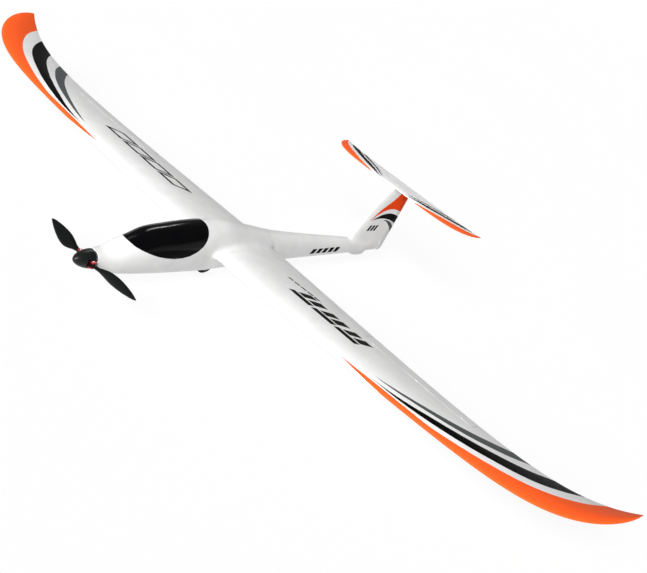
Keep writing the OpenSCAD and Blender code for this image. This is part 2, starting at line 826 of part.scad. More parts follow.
module motor_stator() {
    color(steel) on_thrust(45) difference() {
        union() {
            cylinder(h = 4, r = 11.5);
            cylinder(h = 27, r = 4.5);
            translate([0, 0, 8]) cylinder(h = 15, r = 6);
            for (a = [0:40:320]) rotate(a) translate([5, -1.6, 8]) cube([6.4, 3.2, 15]);
        }
        translate([0, 0, -1]) cylinder(h = 30, r = shaft_r + pin_gap);
    }
}

module motor_bell() {
    color(black) on_thrust(51) difference() {
        cylinder(h = 26, r = 14);
        translate([0, 0, -1]) cylinder(h = 24, r = 12.4);
        cylinder(h = 30, r = shaft_r);
        for (a = [0:60:300]) rotate(a) translate([8, 0, 20]) cylinder(h = 8, r = 2.2, $fn = 24);
    }
}

module motor_shaft() {
    color(steel) on_thrust(10) cylinder(h = 67, r = shaft_r);
}

// Half height of the yoke, half width of its fork and radius of its fold pins
yoke_h = 5.8;
fork_gap = 3.7;
pin_r = 1.5;

module prop_yoke() {
    color(anodised_red) difference() {
        union() {
            on_thrust(20) cylinder(h = 16.2, r = 6.5);
            translate([-fold_x, fold_y - 4.6, -yoke_h]) cube([2 * fold_x, 9.2, 2 * yoke_h]);
            for (s = [-1, 1]) translate([s * fold_x, fold_y, -yoke_h]) cylinder(h = 2 * yoke_h, r = 4.6);
        }
        on_thrust(10) cylinder(h = 40, r = shaft_r);
        for (s = [-1, 1]) translate([s * fold_x, fold_y, 0]) {
            translate([0, 0, -fork_gap]) cylinder(h = 2 * fork_gap, r = 5.6);
            translate([s > 0 ? 0 : -12, -8, -fork_gap]) cube([12, 16, 2 * fork_gap]);
            translate([0, 0, -10]) cylinder(h = 20, r = pin_r, $fn = 32);
        }
    }
}

module prop_nut() {
    color(steel) on_thrust(14) difference() {
        cylinder(h = 6, r = 4.6, $fn = 6);
        translate([0, 0, -1]) cylinder(h = 8, r = shaft_r);
    }
}

module blade_pins() {
    color(steel) for (s = [-1, 1]) translate([s * fold_x, fold_y, -yoke_h]) {
        cylinder(h = 2 * yoke_h, r = pin_r, $fn = 32);
        translate([0, 0, 2 * yoke_h]) cylinder(h = 0.9, r = 2.4, $fn = 32);
    }
}

// Half height of the slots that let the blades out
slot_h = 6.9;

function spinner_radius(y, r) = r * pow(1 - pow((spinner_len - y) / spinner_len, 1.9), 0.6);

function spinner_line(r, y0) = [for (t = steps(0, 1, 12))
    let (y = y0 + (spinner_len - y0) * (1 - cos(90 * t))) [spinner_radius(y, r), y]];

module spinner() {
    wall = 1.5;
    color(black) difference() {
        rotate([-90, 0, 0]) rotate_extrude($fn = 64) difference() {
            polygon(concat(spinner_line(spinner_r, 0), [[0, spinner_len]]));
            polygon(concat([[0, 9]], [for (p = spinner_line(spinner_r, 0)) if (p[1] > 6)
                [p[0] - wall, p[1] + wall]], [[0, spinner_len + wall]]));
        }
        // slots that let the blades out and fold back
        for (s = [-1, 1]) translate([s > 0 ? 9 : -29, 20, -slot_h]) cube([20, 30, 2 * slot_h]);
        translate([-30, spinner_len - 1.8, -30]) cube([60, 10, 60]);
    }
}

module spinner_backplate() {
    color(black) on_thrust(spinner_len - 1.8) difference() {
        cylinder(h = 1.8, r = spinner_r);
        translate([0, 0, -1]) cylinder(h = 4, r = shaft_r);
        for (s = [-1, 1]) translate([s > 0 ? 9 : -29, -slot_h, -1]) cube([20, 2 * slot_h, 4]);
    }
}

// Blade rows by distance from the shaft: [radius, chord, thickness].
blade_rows = [[28, 8, 4.4], [35, 11, 3.8], [46, 18.5, 3.2], [60, 25, 2.7], [76, 25.5, 2.3],
    [92, 21.5, 1.9], [106, 15, 1.6], [116, 8.5, 1.3], [122, 2.6, 1]];
blade_pitch = 127;

// Blade section: a flat-bottomed leaf, twisted to the helix angle at this radius.
function blade_ring(r) =
    let (
        chord = smooth(blade_rows, 1, r),
        thick = smooth(blade_rows, 2, r),
        turn = atan(blade_pitch / (2 * PI * r)),
        sweep = 3 * sin(180 * (r - 28) / 94)
    )
    [for (i = [0:11])
        let (
            a = 360 * i / 12,
            across = chord / 2 * cos(a) + sweep,
            up = thick / 2 * sin(a) + (sin(a) > 0 ? 0.35 : -0.1) * thick * pow(sin(a), 2)
        )
        [r * prop_r / 122, -across * sin(turn) - up * cos(turn), across * cos(turn) - up * sin(turn)]];

module blade_half() {
    difference() {
        union() {
            loft([for (r = steps(28, 122, 14)) blade_ring(r)]);
            // the tongue between the yoke's cheeks
            translate([fold_x, 0, -3.5]) cylinder(h = 7, r = 4.2);
            translate([fold_x, -3.2, -3.2]) cube([13, 6.4, 6.4]);
        }
        translate([fold_x, 0, -10]) cylinder(h = 20, r = pin_r + pin_gap, $fn = 32);
    }
}

module parked_blade() {
    translate([fold_x, fold_y, 0]) rotate([0, 0, blade_trail]) translate([-fold_x, 0, 0]) blade_half();
}

module blade_port() {
    color(black) parked_blade();
}

module blade_starboard() {
    color(black) rotate([0, 180, 0]) parked_blade();
}

// ---------- equipment ----------

tray_z = -15;

module rounded_block(x, y, z, size, r) {
    translate([x, y, z]) hull() for (dx = [r, size[0] - r]) for (dy = [r, size[1] - r])
        translate([dx, dy, 0]) cylinder(h = size[2], r = r, $fn = 16);
}

module esc() {
    color(servo_blue) rounded_block(-11, 92, -16, [22, 38, 9], 2);
}

module battery() {
    color([0.15, 0.18, 0.22]) rounded_block(-14.5, 138, tray_z, [29, 90, 21], 3);
}

module battery_strap() {
    y = 172;
    w = 20;
    color(black) difference() {
        translate([-15.9, y, tray_z - 3.2]) cube([31.8, w, 25.4]);
        translate([-14.8, y - 1, tray_z - 2]) cube([29.6, w + 2, 23.1]);
    }
}

module equipment_tray() {
    color([0.80, 0.66, 0.46]) translate([-14.7, 132, tray_z - 2]) cube([29.4, 134, 2]);
}

module receiver() {
    color(black) rounded_block(-11, 234, tray_z, [22, 32, 12], 1.5);
}

// Three motor wires and the battery lead, each a straight run inside the nose.
module power_wiring() {
    color(black) {
        for (s = [-1, 0, 1]) translate([s * 4, 84, -12]) rotate([-90, 0, 0]) cylinder(h = 8, r = 1.4, $fn = 24);
        for (s = [-1, 1]) translate([s * 4, 130, -9]) rotate([-90, 0, 0]) cylinder(h = 8, r = 1.5, $fn = 24);
    }
}

// ---------- canopy ----------

canopy_stations = concat([97, 100], steps(108, 284, 14));

module canopy() {
    color(black) intersection() {
        difference() {
            loft([for (y = canopy_stations) full_ring(y, 0, 32)]);
            loft([for (y = canopy_stations) let (first = y == 97, end = y == 284)
                full_ring(first ? 96 : end ? 285 : y, canopy_wall, 32)]);
        }
        translate([0, -canopy_gap, canopy_gap]) canopy_prism(-60, 60);
    }
}

module canopy_latch() {
    color(grey) {
        // tongue under the nose's top skin
        translate([-5, 92, 24.5]) cube([10, 21, 2.2]);
        translate([-4, 110, 26.7]) cube([8, 3, 11.4]);
        // magnet holder behind
        translate([-6, 272, 57]) cube([12, 5.8, 9.5]);
    }
}

module canopy_magnet() {
    color(steel) translate([0, 277.8, magnet_z]) rotate([-90, 0, 0]) cylinder(h = 3, r = 4);
}

module fuselage_magnet() {
    color(steel) translate([0, 282.6, magnet_z]) rotate([-90, 0, 0]) cylinder(h = 3, r = 4);
}

// ---------- belly wheel ----------

wheel_z = wheel_r - ground_z;

module on_axle() {
    translate([0, wheel_y, wheel_z]) rotate([0, 90, 0]) children();
}

module wheel_box() {
    color(black) difference() {
        translate([-9.8, wheel_y - 28, -32.5]) cube([19.6, 56, 31]);
        translate([-8.3, wheel_y - 26.5, -40]) cube([16.6, 53, 37]);
        on_axle() translate([0, 0, -20]) cylinder(h = 40, r = 1.5, $fn = 32);
    }
}

module wheel_axle() {
    color(steel) on_axle() translate([0, 0, -9.7]) cylinder(h = 19.4, r = 1.5, $fn = 32);
}

hub_r = wheel_r - 8;

module wheel_hub() {
    color(nylon) on_axle() difference() {
        union() {
            translate([0, 0, -wheel_w / 2 - 1]) cylinder(h = wheel_w + 2, r = 4);
            translate([0, 0, -1.5]) cylinder(h = 3, r = hub_r);
            difference() {
                translate([0, 0, -wheel_w / 2 + 1]) cylinder(h = wheel_w - 2, r = hub_r);
                translate([0, 0, -wheel_w]) cylinder(h = 2 * wheel_w, r = hub_r - 1.6);
            }
        }
        translate([0, 0, -20]) cylinder(h = 40, r = 1.5 + pin_gap, $fn = 32);
    }
}

module wheel_tyre() {
    shoulder = 4.5;
    color(black) on_axle() rotate_extrude($fn = 96) difference() {
        union() {
            translate([hub_r, -wheel_w / 2]) square([8 - shoulder, wheel_w]);
            translate([wheel_r - shoulder, 0]) circle(r = shoulder, $fn = 48);
            translate([hub_r + 1, -shoulder]) square([8 - shoulder, 2 * shoulder]);
        }
        translate([hub_r - 10, -20]) square([10, 40]);
    }
}

// ---------- placing ----------

module place() {
    translate([0, -length / 2, ground_z]) children();
}

place() fuselage_port();
place() fuselage_starboard();
place() wing_port();
place() wing_starboard();
place() wing_joiner();
place() root_ribs();
place() wing_screws();
place() boom_stiffener();
place() motor_mount();
place() motor_stator();
place() motor_bell();
place() motor_shaft();
place() prop_yoke();
place() prop_nut();
place() blade_pins();
place() spinner();
place() spinner_backplate();
place() blade_port();
place() blade_starboard();
place() esc();
place() battery();
place() battery_strap();
place() equipment_tray();
place() receiver();
place() power_wiring();
place() canopy();
place() canopy_latch();
place() canopy_magnet();
place() fuselage_magnet();
place() aileron_port();
place() aileron_starboard();
place() aileron_horn_port();
place() aileron_horn_starboard();
place() aileron_hinges_port();
place() aileron_hinges_starboard();
place() aileron_servo_port();
place() aileron_servo_starboard();
place() aileron_arm_port();
place() aileron_arm_starboard();
place() aileron_rod_port();
place() aileron_rod_starboard();
place() stabilizer();
place() stabilizer_screws();
place() elevator();
place() elevator_horn();
place() elevator_hinges();
place() elevator_servo();
place() elevator_arm();
place() elevator_rod();
place() rudder();
place() rudder_horn();
place() rudder_hinges();
place() rudder_servo();
place() rudder_arm();
place() rudder_rod();
place() tail_skid();
place() wheel_box();
place() wheel_axle();
place() wheel_hub();
place() wheel_tyre();
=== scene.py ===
"""Visual model of an electric radio control glider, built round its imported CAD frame.

Shapes are worked out in millimetres in the nose frame of the CAD source: Y runs aft from the
spinner tip, X to port, Z up, with the thrust line at Z = 0. placed() turns that into metres in
the part's own frame.
"""

import json
import math

import bmesh
import bpy
import numpy as np
from mathutils import Matrix, Vector
from mathutils.bvhtree import BVHTree


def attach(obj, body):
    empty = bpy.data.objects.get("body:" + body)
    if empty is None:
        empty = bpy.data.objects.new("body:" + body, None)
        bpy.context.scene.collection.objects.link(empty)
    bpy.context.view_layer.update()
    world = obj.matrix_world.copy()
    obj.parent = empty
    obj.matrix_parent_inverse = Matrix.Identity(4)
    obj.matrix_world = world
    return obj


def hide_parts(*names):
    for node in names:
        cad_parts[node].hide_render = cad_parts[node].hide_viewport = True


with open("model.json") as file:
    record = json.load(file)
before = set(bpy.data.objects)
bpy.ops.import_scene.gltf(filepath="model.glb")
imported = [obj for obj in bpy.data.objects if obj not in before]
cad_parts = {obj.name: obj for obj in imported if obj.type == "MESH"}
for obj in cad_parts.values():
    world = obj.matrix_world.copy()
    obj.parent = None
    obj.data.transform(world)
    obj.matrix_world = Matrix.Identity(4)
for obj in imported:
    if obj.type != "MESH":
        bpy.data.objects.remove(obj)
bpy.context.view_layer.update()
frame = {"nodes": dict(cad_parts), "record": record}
scene = bpy.context.scene
nodes = frame["nodes"]

LENGTH = 990.0
GROUND = 50.0
HALF_SPAN = 900.0
SMOOTH_ANGLE = math.radians(32)


# ---------- curves of the airframe ----------

BODY_ROWS = [
    (40, 17.5, 17.5, 0), (60, 20.5, 20.5, 0), (88, 26, 30.5, 2), (120, 30.5, 38, 7),
    (150, 34, 45, 12.5), (200, 37, 49, 15.5), (250, 38, 52, 17.5), (300, 37, 53.5, 18),
    (350, 34.5, 52.5, 18), (420, 29.5, 45.5, 13.5), (500, 24.5, 37, 8), (600, 20.5, 30.5, 4),
    (700, 17.5, 25.5, 1), (800, 15, 21, -2), (880, 12.5, 16.5, -5), (962, 5.4, 13, -7)]
BODY_POWER = 2.2
SILL = [
    (98, 39), (108, 34), (122, 29.5), (140, 24.5), (160, 19.5), (180, 16.5), (200, 15),
    (220, 16), (238, 20), (254, 28), (265, 37), (273, 47), (278, 58), (281.5, 72)]
CANOPY_WALL = 2.4
CANOPY_GAP = 0.35
FIN_ROWS = [
    (-8, 800), (8, 812), (23, 822), (38, 831), (60, 839), (85, 848), (110, 860), (135, 875),
    (156.5, 889), (162, 893)]
FIN_TOP = 156.5
TAIL_Y = 961.5
RUDDER_Y = 964.0
RUDDER_SEAT = 5.4
ROOT_X = 46.0
PANEL_X = 48.0


def hermite(rows, k, y):
    """Value k at y on a smooth curve through the rows."""
    last = len(rows) - 1
    i = 0
    while i < last - 1 and y >= rows[i + 1][0]:
        i += 1

    def slope(j):
        a, b = max(j - 1, 0), min(j + 1, last)
        return (rows[b][k] - rows[a][k]) / (rows[b][0] - rows[a][0])

    h = rows[i + 1][0] - rows[i][0]
    t = min(max((y - rows[i][0]) / h, 0.0), 1.0)
    t2, t3 = t * t, t * t * t
    return (rows[i][k] * (2 * t3 - 3 * t2 + 1) + rows[i + 1][k] * (3 * t2 - 2 * t3)
            + h * slope(i) * (t3 - 2 * t2 + t) + h * slope(i + 1) * (t3 - t2))


def signed_pow(v, p):
    return math.copysign(abs(v) ** p, v)


def body_ring(y, count, wall=0.0):
    w = hermite(BODY_ROWS, 1, y) - wall
    h = hermite(BODY_ROWS, 2, y) - wall
    c = hermite(BODY_ROWS, 3, y)
    p = 2 / BODY_POWER
    ring = []
    for i in range(count):
        a = 2 * math.pi * i / count
        ring.append((w * signed_pow(math.cos(a), p), y, c + h * signed_pow(math.sin(a), p)))
    return ring


def spread(a, b, count):
    return [a + (b - a) * i / count for i in range(count + 1)]


def wing_le(x):
    s = min(x / HALF_SPAN, 1.0)
    return 306 + 18 * s + 25 * s**4 + 152 * (1 - math.sqrt(max(0.0, 1 - s**12)))


def wing_te(x):
    s = min(x / HALF_SPAN, 1.0)
    return 503 - 60 * s - 64 * s * s + 101 * s**3 + 21 * s**10


def wing_height(x):
    s = x / HALF_SPAN
    return 16 + 20 * s + 48 * s**10.5


def foil(u):
    return 5 * (0.2969 * math.sqrt(u) - 0.126 * u - 0.3516 * u * u + 0.2843 * u**3
                - 0.1015 * u**4)


def camber(u):
    if u < 0.4:
        return 0.025 / 0.16 * (0.8 * u - u * u)
    return 0.025 / 0.36 * (0.2 + 0.8 * u - u * u)


def wing_ring(x, steps, swell=1.0, lead=0.0):
    """Closed airfoil at span station x: the upper side from the trailing edge, then the lower."""
    le = wing_le(x) - lead
    chord = max(wing_te(x) - le, 3.0)
    z = wing_height(x)
    t = 0.11 - 0.02 * x / HALF_SPAN
    edge = 0.4
    cut = [(1 - math.cos(math.pi * i / steps)) / 2 for i in range(steps + 1)]
    upper = [(x, le + chord * u, z + chord * (camber(u) + swell * t * foil(u)) + edge * u)
             for u in reversed(cut[1:])]
    lower = [(x, le + chord * u, z + chord * (camber(u) - t * foil(u)) - edge * u) for u in cut]
    return upper + lower


STAB_HALF = 221.0
STAB_Z = 161.0
ELEVATOR_HALF = 188.0
ELEVATOR_GAP = 0.6
ELEVATOR_Y = 941.0
ELEVATOR_NOSE = 2.1
ELEVATOR_COVE = 2.85


def stab_ring(x, steps):
    s = min(abs(x) / STAB_HALF, 1.0)
    le = 887 + 91 * (1 - math.sqrt(max(0.0, 1 - s**5)))
    te = 962 + 16 * s**4
    chord = max(te - le, 2.5)
    cut = [(1 - math.cos(math.pi * i / steps)) / 2 for i in range(steps + 1)]
    upper = [(x, le + chord * u, STAB_Z + chord * 0.09 * foil(u) + 0.35 * u)
             for u in reversed(cut[1:])]
    lower = [(x, le + chord * u, STAB_Z - chord * 0.09 * foil(u) - 0.35 * u) for u in cut]
    return upper + lower


def fin_half_thickness(z, u):
    full = 6.5 - 1.2 * z / FIN_TOP
    end = 4.8 - 0.5 * z / FIN_TOP
    if u < 0.35:
        return full * math.sqrt(max(0.0, 1 - (1 - u / 0.35) ** 2))
    return full + (end - full) * ((u - 0.35) / 0.65) ** 1.5


def fin_ring(z, tail):
    le = hermite(FIN_ROWS, 1, z)
    chord = TAIL_Y - le
    cut = [0.35 * (1 - math.cos(math.pi / 2 * i / 10)) for i in range(11)]
    cut += spread(0.35, 1.0, 12)[1:]
    side = [(fin_half_thickness(z, u), le + chord * u, z) for u in cut]
    side.append((fin_half_thickness(z, 1.0), tail, z))
    return side + [(-x, y, h) for x, y, h in reversed(side[1:])]


# ---------- mesh tools ----------

def placed(p):
    return (p[0] / 1000, (p[1] - LENGTH / 2) / 1000, (p[2] + GROUND) / 1000)


def add_object(name, mesh):
    ob = bpy.data.objects.new(name, mesh)
    scene.collection.objects.link(ob)
    return ob


def mesh_object(name, points, faces):
    """An object from points in the nose frame, with its faces turned outward."""
    mesh = bpy.data.meshes.new(name)
    mesh.from_pydata([placed(p) for p in points], [], faces)
    work = bmesh.new()
    work.from_mesh(mesh)
    bmesh.ops.remove_doubles(work, verts=work.verts, dist=1e-7)
    bmesh.ops.recalc_face_normals(work, faces=work.faces)
    work.to_mesh(mesh)
    work.free()
    return add_object(name, mesh)


def loft(name, rings):
    n = len(rings[0])
    points = [p for r in rings for p in r]
    faces = [(j * n + i, j * n + (i + 1) % n, (j + 1) * n + (i + 1) % n, (j + 1) * n + i)
             for j in range(len(rings) - 1) for i in range(n)]
    faces += [tuple(range(n)), tuple(range(len(points) - n, len(points)))]
    return mesh_object(name, points, faces)


def prism(name, outline, lift, lo, hi):
    """A prism over a flat outline; lift(a, b, h) gives the point at height h over (a, b)."""
    return loft(name, [[lift(a, b, h) for a, b in outline] for h in (lo, hi)])


def side_prism(name, outline, x0, x1):
    return prism(name, outline, lambda a, b, h: (h, a, b), x0, x1)


def plan_prism(name, outline, z0, z1):
    return prism(name, outline, lambda a, b, h: (a, b, h), z0, z1)


def rectangle(x0, x1, y0, y1):
    return [(x0, y0), (x1, y0), (x1, y1), (x0, y1)]


def block(name, x0, x1, y0, y1, z0, z1):
    return plan_prism(name, rectangle(x0, x1, y0, y1), z0, z1)


def revolve(name, profile, count, lift):
    """A solid of revolution; profile rows are (radius, station), lift(a, b, s) places them."""
    rings = []
    for r, s in profile:
        rings.append([lift(r * math.cos(2 * math.pi * i / count),
                           r * math.sin(2 * math.pi * i / count), s) for i in range(count)])
    return loft(name, rings)


def on_thrust(a, b, s):
    return (a, s, b)


def upright(x, y):
    return lambda a, b, s: (x + a, y + b, s)


def apply_modifiers(ob):
    graph = bpy.context.evaluated_depsgraph_get()
    mesh = bpy.data.meshes.new_from_object(ob.evaluated_get(graph))
    old = ob.data
    ob.modifiers.clear()
    ob.data = mesh
    bpy.data.meshes.remove(old)


def combine(ob, others, operation="DIFFERENCE"):
    for other in others:
        mod = ob.modifiers.new("combine", "BOOLEAN")
        mod.operation = operation
        mod.solver = "EXACT"
        mod.object = other
    bpy.context.view_layer.update()
    apply_modifiers(ob)
    for other in others:
        bpy.data.objects.remove(other)
    return ob


def join(name, parts):
    """One object of several loose shells."""
    work = bmesh.new()
    for part in parts:
        work.from_mesh(part.data)
    mesh = bpy.data.meshes.new(name)
    work.to_mesh(mesh)
    work.free()
    for part in parts:
        bpy.data.objects.remove(part)
    return add_object(name, mesh)


def mirrored(ob, name):
    mesh = ob.data.copy()
    mesh.transform(Matrix.Diagonal((-1, 1, 1, 1)))
    mesh.flip_normals()
    return add_object(name, mesh)


def finish_piece(ob, body, slot, material, *replaced, angle=SMOOTH_ANGLE):
    """Shades a finished shape, puts it on its body and hides the CAD nodes it stands for."""
    ob.data.materials.clear()
    ob.data.materials.append(material)
    ob.data.shade_smooth()
    ob.data.set_sharp_from_angle(angle=angle)
    mod = ob.modifiers.new("normals", "WEIGHTED_NORMAL")
    mod.keep_sharp = True
    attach(ob, body)
    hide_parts(*replaced)


# ---------- materials ----------

def srgb(r, g, b):
    out = []
    for v in (r, g, b):
        c = v / 255
        out.append(c / 12.92 if c <= 0.04045 else ((c + 0.055) / 1.055) ** 2.4)
    return (*out, 1.0)


class Shader:
    """A material with one Principled surface, and short calls for the nodes that feed it."""

    def __init__(self, name, **sockets):
        self.material = bpy.data.materials.new(name)
        self.material.use_nodes = True
        self.tree = self.material.node_tree
        self.tree.nodes.clear()
        output = self.tree.nodes.new("ShaderNodeOutputMaterial")
        self.surface = self.tree.nodes.new("ShaderNodeBsdfPrincipled")
        self.tree.links.new(self.surface.outputs["BSDF"], output.inputs["Surface"])
        for key, value in sockets.items():
            self.surface.inputs[key.replace("_", " ")].default_value = value
        place = self.tree.nodes.new("ShaderNodeTexCoord")
        self.place = place.outputs["Object"]

    def feed(self, socket, value):
        if isinstance(value, bpy.types.NodeSocket):
            self.tree.links.new(value, socket)
        else:
            socket.default_value = value

    def math(self, operation, a, b=0.0, c=0.0):
        node = self.tree.nodes.new("ShaderNodeMath")
        node.operation = operation
        for socket, value in zip(node.inputs, (a, b, c)):
            self.feed(socket, value)
        return node.outputs[0]

    def axes(self):
        node = self.tree.nodes.new("ShaderNodeSeparateXYZ")
        self.feed(node.inputs[0], self.place)
        return node.outputs

    def scaled(self, sx, sy, sz):
        node = self.tree.nodes.new("ShaderNodeMapping")
        self.feed(node.inputs["Vector"], self.place)
        node.inputs["Scale"].default_value = (sx, sy, sz)
        return node.outputs[0]

    def noise(self, scale, detail=3.0, rough=0.5, vector=None):
        node = self.tree.nodes.new("ShaderNodeTexNoise")
        self.feed(node.inputs["Vector"], vector or self.place)
        node.inputs["Scale"].default_value = scale
        node.inputs["Detail"].default_value = detail
        node.inputs["Roughness"].default_value = rough
        return node.outputs["Fac"]

    def cells(self, scale):
        node = self.tree.nodes.new("ShaderNodeTexVoronoi")
        node.feature = "DISTANCE_TO_EDGE"
        self.feed(node.inputs["Vector"], self.place)
        node.inputs["Scale"].default_value = scale
        return node.outputs["Distance"]

    def wave(self, scale, direction):
        node = self.tree.nodes.new("ShaderNodeTexWave")
        node.bands_direction = direction
        self.feed(node.inputs["Vector"], self.place)
        node.inputs["Scale"].default_value = scale
        return node.outputs["Fac"]

    def between(self, value, lo, hi, to_lo=0.0, to_hi=1.0, clamp=True):
        node = self.tree.nodes.new("ShaderNodeMapRange")
        node.clamp = clamp
        for socket, v in zip(node.inputs, (value, lo, hi, to_lo, to_hi)):
            self.feed(socket, v)
        return node.outputs[0]

    def mix(self, factor, a, b):
        node = self.tree.nodes.new("ShaderNodeMix")
        node.data_type = "RGBA"
        self.feed(node.inputs["Factor"], factor)
        self.feed(node.inputs[6], a)
        self.feed(node.inputs[7], b)
        return node.outputs[2]

    def curve(self, value, points):
        """A smooth curve through points in 0..1."""
        node = self.tree.nodes.new("ShaderNodeFloatCurve")
        line = node.mapping.curves[0]
        first, last = points[0], points[-1]
        line.points[0].location = first
        line.points[1].location = last
        for p in points[1:-1]:
            line.points.new(*p)
        for p in line.points:
            p.handle_type = "AUTO"
        node.mapping.update()
        self.feed(node.inputs["Value"], value)
        return node.outputs[0]

    def bump(self, height, strength, distance):
        node = self.tree.nodes.new("ShaderNodeBump")
        node.inputs["Strength"].default_value = strength
        node.inputs["Distance"].default_value = distance
        self.feed(node.inputs["Height"], height)
        self.feed(self.surface.inputs["Normal"], node.outputs[0])

    def colour(self, value):
        self.feed(self.surface.inputs["Base Color"], value)

    def roughness(self, value):
        self.feed(self.surface.inputs["Roughness"], value)


ORANGE = srgb(255, 96, 40)
FIN_ORANGE = srgb(240, 72, 14)
PAINT_BLACK = srgb(7, 7, 6)
PAINT_GREY = srgb(84, 88, 88)
FOAM_WHITE = (0.86, 0.86, 0.855, 1)
FOAM_SHADE = (0.80, 0.80, 0.795, 1)


class Paint:
    """Foam with sprayed bands: masks over two coordinates in millimetres.

    lo..hi is the range of the coordinate "across", and lo2..hi2 that of the one "along" which a
    band's edges are given; shine is the specular level.
    """

    def __init__(self, name, lo, hi, across, lo2, hi2, along, shine=0.05):
        self.s = Shader(name, Roughness=0.42, Specular_IOR_Level=shine)
        s = self.s
        axes = s.axes()
        # millimetres in the nose frame, with the span measured out from the middle
        self.x = s.math("MULTIPLY", axes[0], 1000.0)
        self.ax = s.math("ABSOLUTE", self.x)
        self.y = s.math("MULTIPLY_ADD", axes[1], 1000.0, LENGTH / 2)
        self.z = s.math("MULTIPLY_ADD", axes[2], 1000.0, -GROUND)
        self.lo, self.hi, self.lo2, self.hi2 = lo, hi, lo2, hi2
        self.run = s.between({"x": self.ax, "y": self.y}[across], lo, hi)
        self.level = s.between({"y": self.y, "z": self.z}[along], lo2, hi2, clamp=False)
        mottle = s.noise(26.0, 2.0, 0.6)
        self.now = s.mix(s.between(mottle, 0.3, 0.7), FOAM_WHITE, FOAM_SHADE)

    def line(self, points):
        """Height of a smooth curve over the range; both are scaled to 0..1 for the curve node."""
        scaled = [((a - self.lo) / (self.hi - self.lo), (b - self.lo2) / (self.hi2 - self.lo2))
                  for a, b in points]
        return self.s.curve(self.run, scaled)

    def below(self, points):
        return self.s.math("GREATER_THAN", self.line(points), self.level)

    def band(self, low, high):
        s = self.s
        return s.math("MULTIPLY", s.math("GREATER_THAN", self.level, self.line(low)),
                      self.below(high))

    def spray(self, mask, colour):
        self.now = self.s.mix(mask, self.now, colour)

    def within(self, value, lo, hi):
        s = self.s
        return s.math("MULTIPLY", s.math("GREATER_THAN", value, lo),
                      s.math("LESS_THAN", value, hi))

    def all_of(self, *masks):
        out = masks[0]
        for m in masks[1:]:
            out = self.s.math("MULTIPLY", out, m)
        return out

    def done(self):
        s = self.s
        s.colour(self.now)
        s.roughness(s.between(s.noise(60.0, 3.0, 0.6), 0.2, 0.8, 0.36, 0.5))
        beads = s.between(s.cells(330.0), 0.0, 0.2)
        fine = s.noise(1400.0, 2.0, 0.5)
        s.bump(s.math("MULTIPLY_ADD", fine, 0.35, beads), 0.13, 0.0002)
        return s.material


def leaning(p, middle, slope, start, pitch):
    """A slanted measure along the span, and its place in a cell that repeats from start."""
    s = p.s
    lean = s.math("SUBTRACT", p.ax, s.math("MULTIPLY", s.math("SUBTRACT", p.y, middle), slope))
    turn = s.math("FRACT", s.math("DIVIDE", s.math("SUBTRACT", lean, start), pitch))
    return lean, s.math("MULTIPLY", turn, pitch)


def wing_paint():
    p = Paint("foam_wing", 350, 905, "x", 300, 530, "y")
    s = p.s
    edge = [(350, 319.4), (366, 320), (400, 321.5), (430, 323), (475, 325), (520, 327),
            (564, 329.5), (600, 335.5), (641, 344.5), (677, 354.5), (711, 365.5), (744, 379),
            (773, 395.5), (801, 417.5), (827, 446), (841, 470), (852, 493), (861, 520),
            (905, 525)]
    # the orange rolls over the leading edge onto the underside between these spans
    wrap = s.math("MULTIPLY_ADD", p.ax, 0.034, p.z)
    p.spray(p.all_of(p.below(edge), s.math("GREATER_THAN", wrap, 41.4)), ORANGE)
    black_low = [(350, 323), (427, 326.5), (498, 329.5), (545, 335.5), (598, 346.5), (636, 357),
                 (670, 369), (716, 388), (752, 409), (783, 438), (813, 478), (838, 515),
                 (905, 530)]
    black_high = [(350, 320), (427, 326.5), (463, 330), (510, 338.5), (545, 348.5), (584, 361),
                  (627, 378), (657, 392.5), (695, 414), (724, 435), (748, 459), (770, 486),
                  (795, 515), (830, 529), (905, 530)]
    p.spray(p.band(black_low, black_high), PAINT_BLACK)
    grey_low = [(350, 333), (428, 336.5), (475, 342), (510, 350), (545, 359.5), (580, 371),
                (617, 387), (650, 407), (681, 431), (705, 458), (727, 490), (752, 521),
                (790, 529), (905, 530)]
    grey_high = [(350, 330), (428, 336.5), (465, 344.5), (497, 354), (533, 367), (570, 383.5),
                 (608, 405), (638, 428), (665, 454), (690, 482), (715, 511), (745, 528),
                 (905, 530)]
    p.spray(p.band(grey_low, grey_high), PAINT_GREY)
    # plain geometric marks on the upper side: bold slit blocks to port, outlines to starboard
    top = s.math("GREATER_THAN", p.z, s.math("MULTIPLY_ADD", p.ax, 0.022, 17.0))
    port = p.all_of(s.math("GREATER_THAN", p.x, 0.0), top)
    lean, cell = leaning(p, 401.0, 0.5, 187.0, 60.0)
    front = p.all_of(p.within(cell, 0.0, 54.0), p.within(p.y, 376.0, 388.5))
    rear = p.all_of(p.within(cell, 4.0, 50.0), p.within(p.y, 392.5, 421.0))
    slit = p.within(cell, 22.0, 30.0)
    bold = s.math("ADD", front, s.math("SUBTRACT", rear, p.all_of(rear, slit)))
    p.spray(p.all_of(port, p.within(lean, 187.0, 366.0), bold), PAINT_BLACK)
    rise = s.math("SUBTRACT", p.y, s.math("MULTIPLY", p.ax, 0.11))
    dash = s.math("LESS_THAN", s.math("FRACT", s.math("DIVIDE", p.ax, 17.0)), 0.82)
    p.spray(p.all_of(port, p.within(p.ax, 138.0, 222.0), p.within(rise, 401.4, 407.2), dash),
            PAINT_BLACK)
    starboard = p.all_of(s.math("LESS_THAN", p.x, 0.0), top)
    lean, cell = leaning(p, 406.0, -0.75, 177.0, 61.0)
    outer = p.all_of(p.within(cell, 0.0, 55.0), p.within(p.y, 387.0, 424.0))
    inner = p.all_of(p.within(cell, 7.5, 47.5), p.within(p.y, 394.0, 417.0))
    outline = s.math("SUBTRACT", outer, inner)
    p.spray(p.all_of(starboard, p.within(lean, 177.0, 421.0), outline), PAINT_BLACK)
    return p.done()


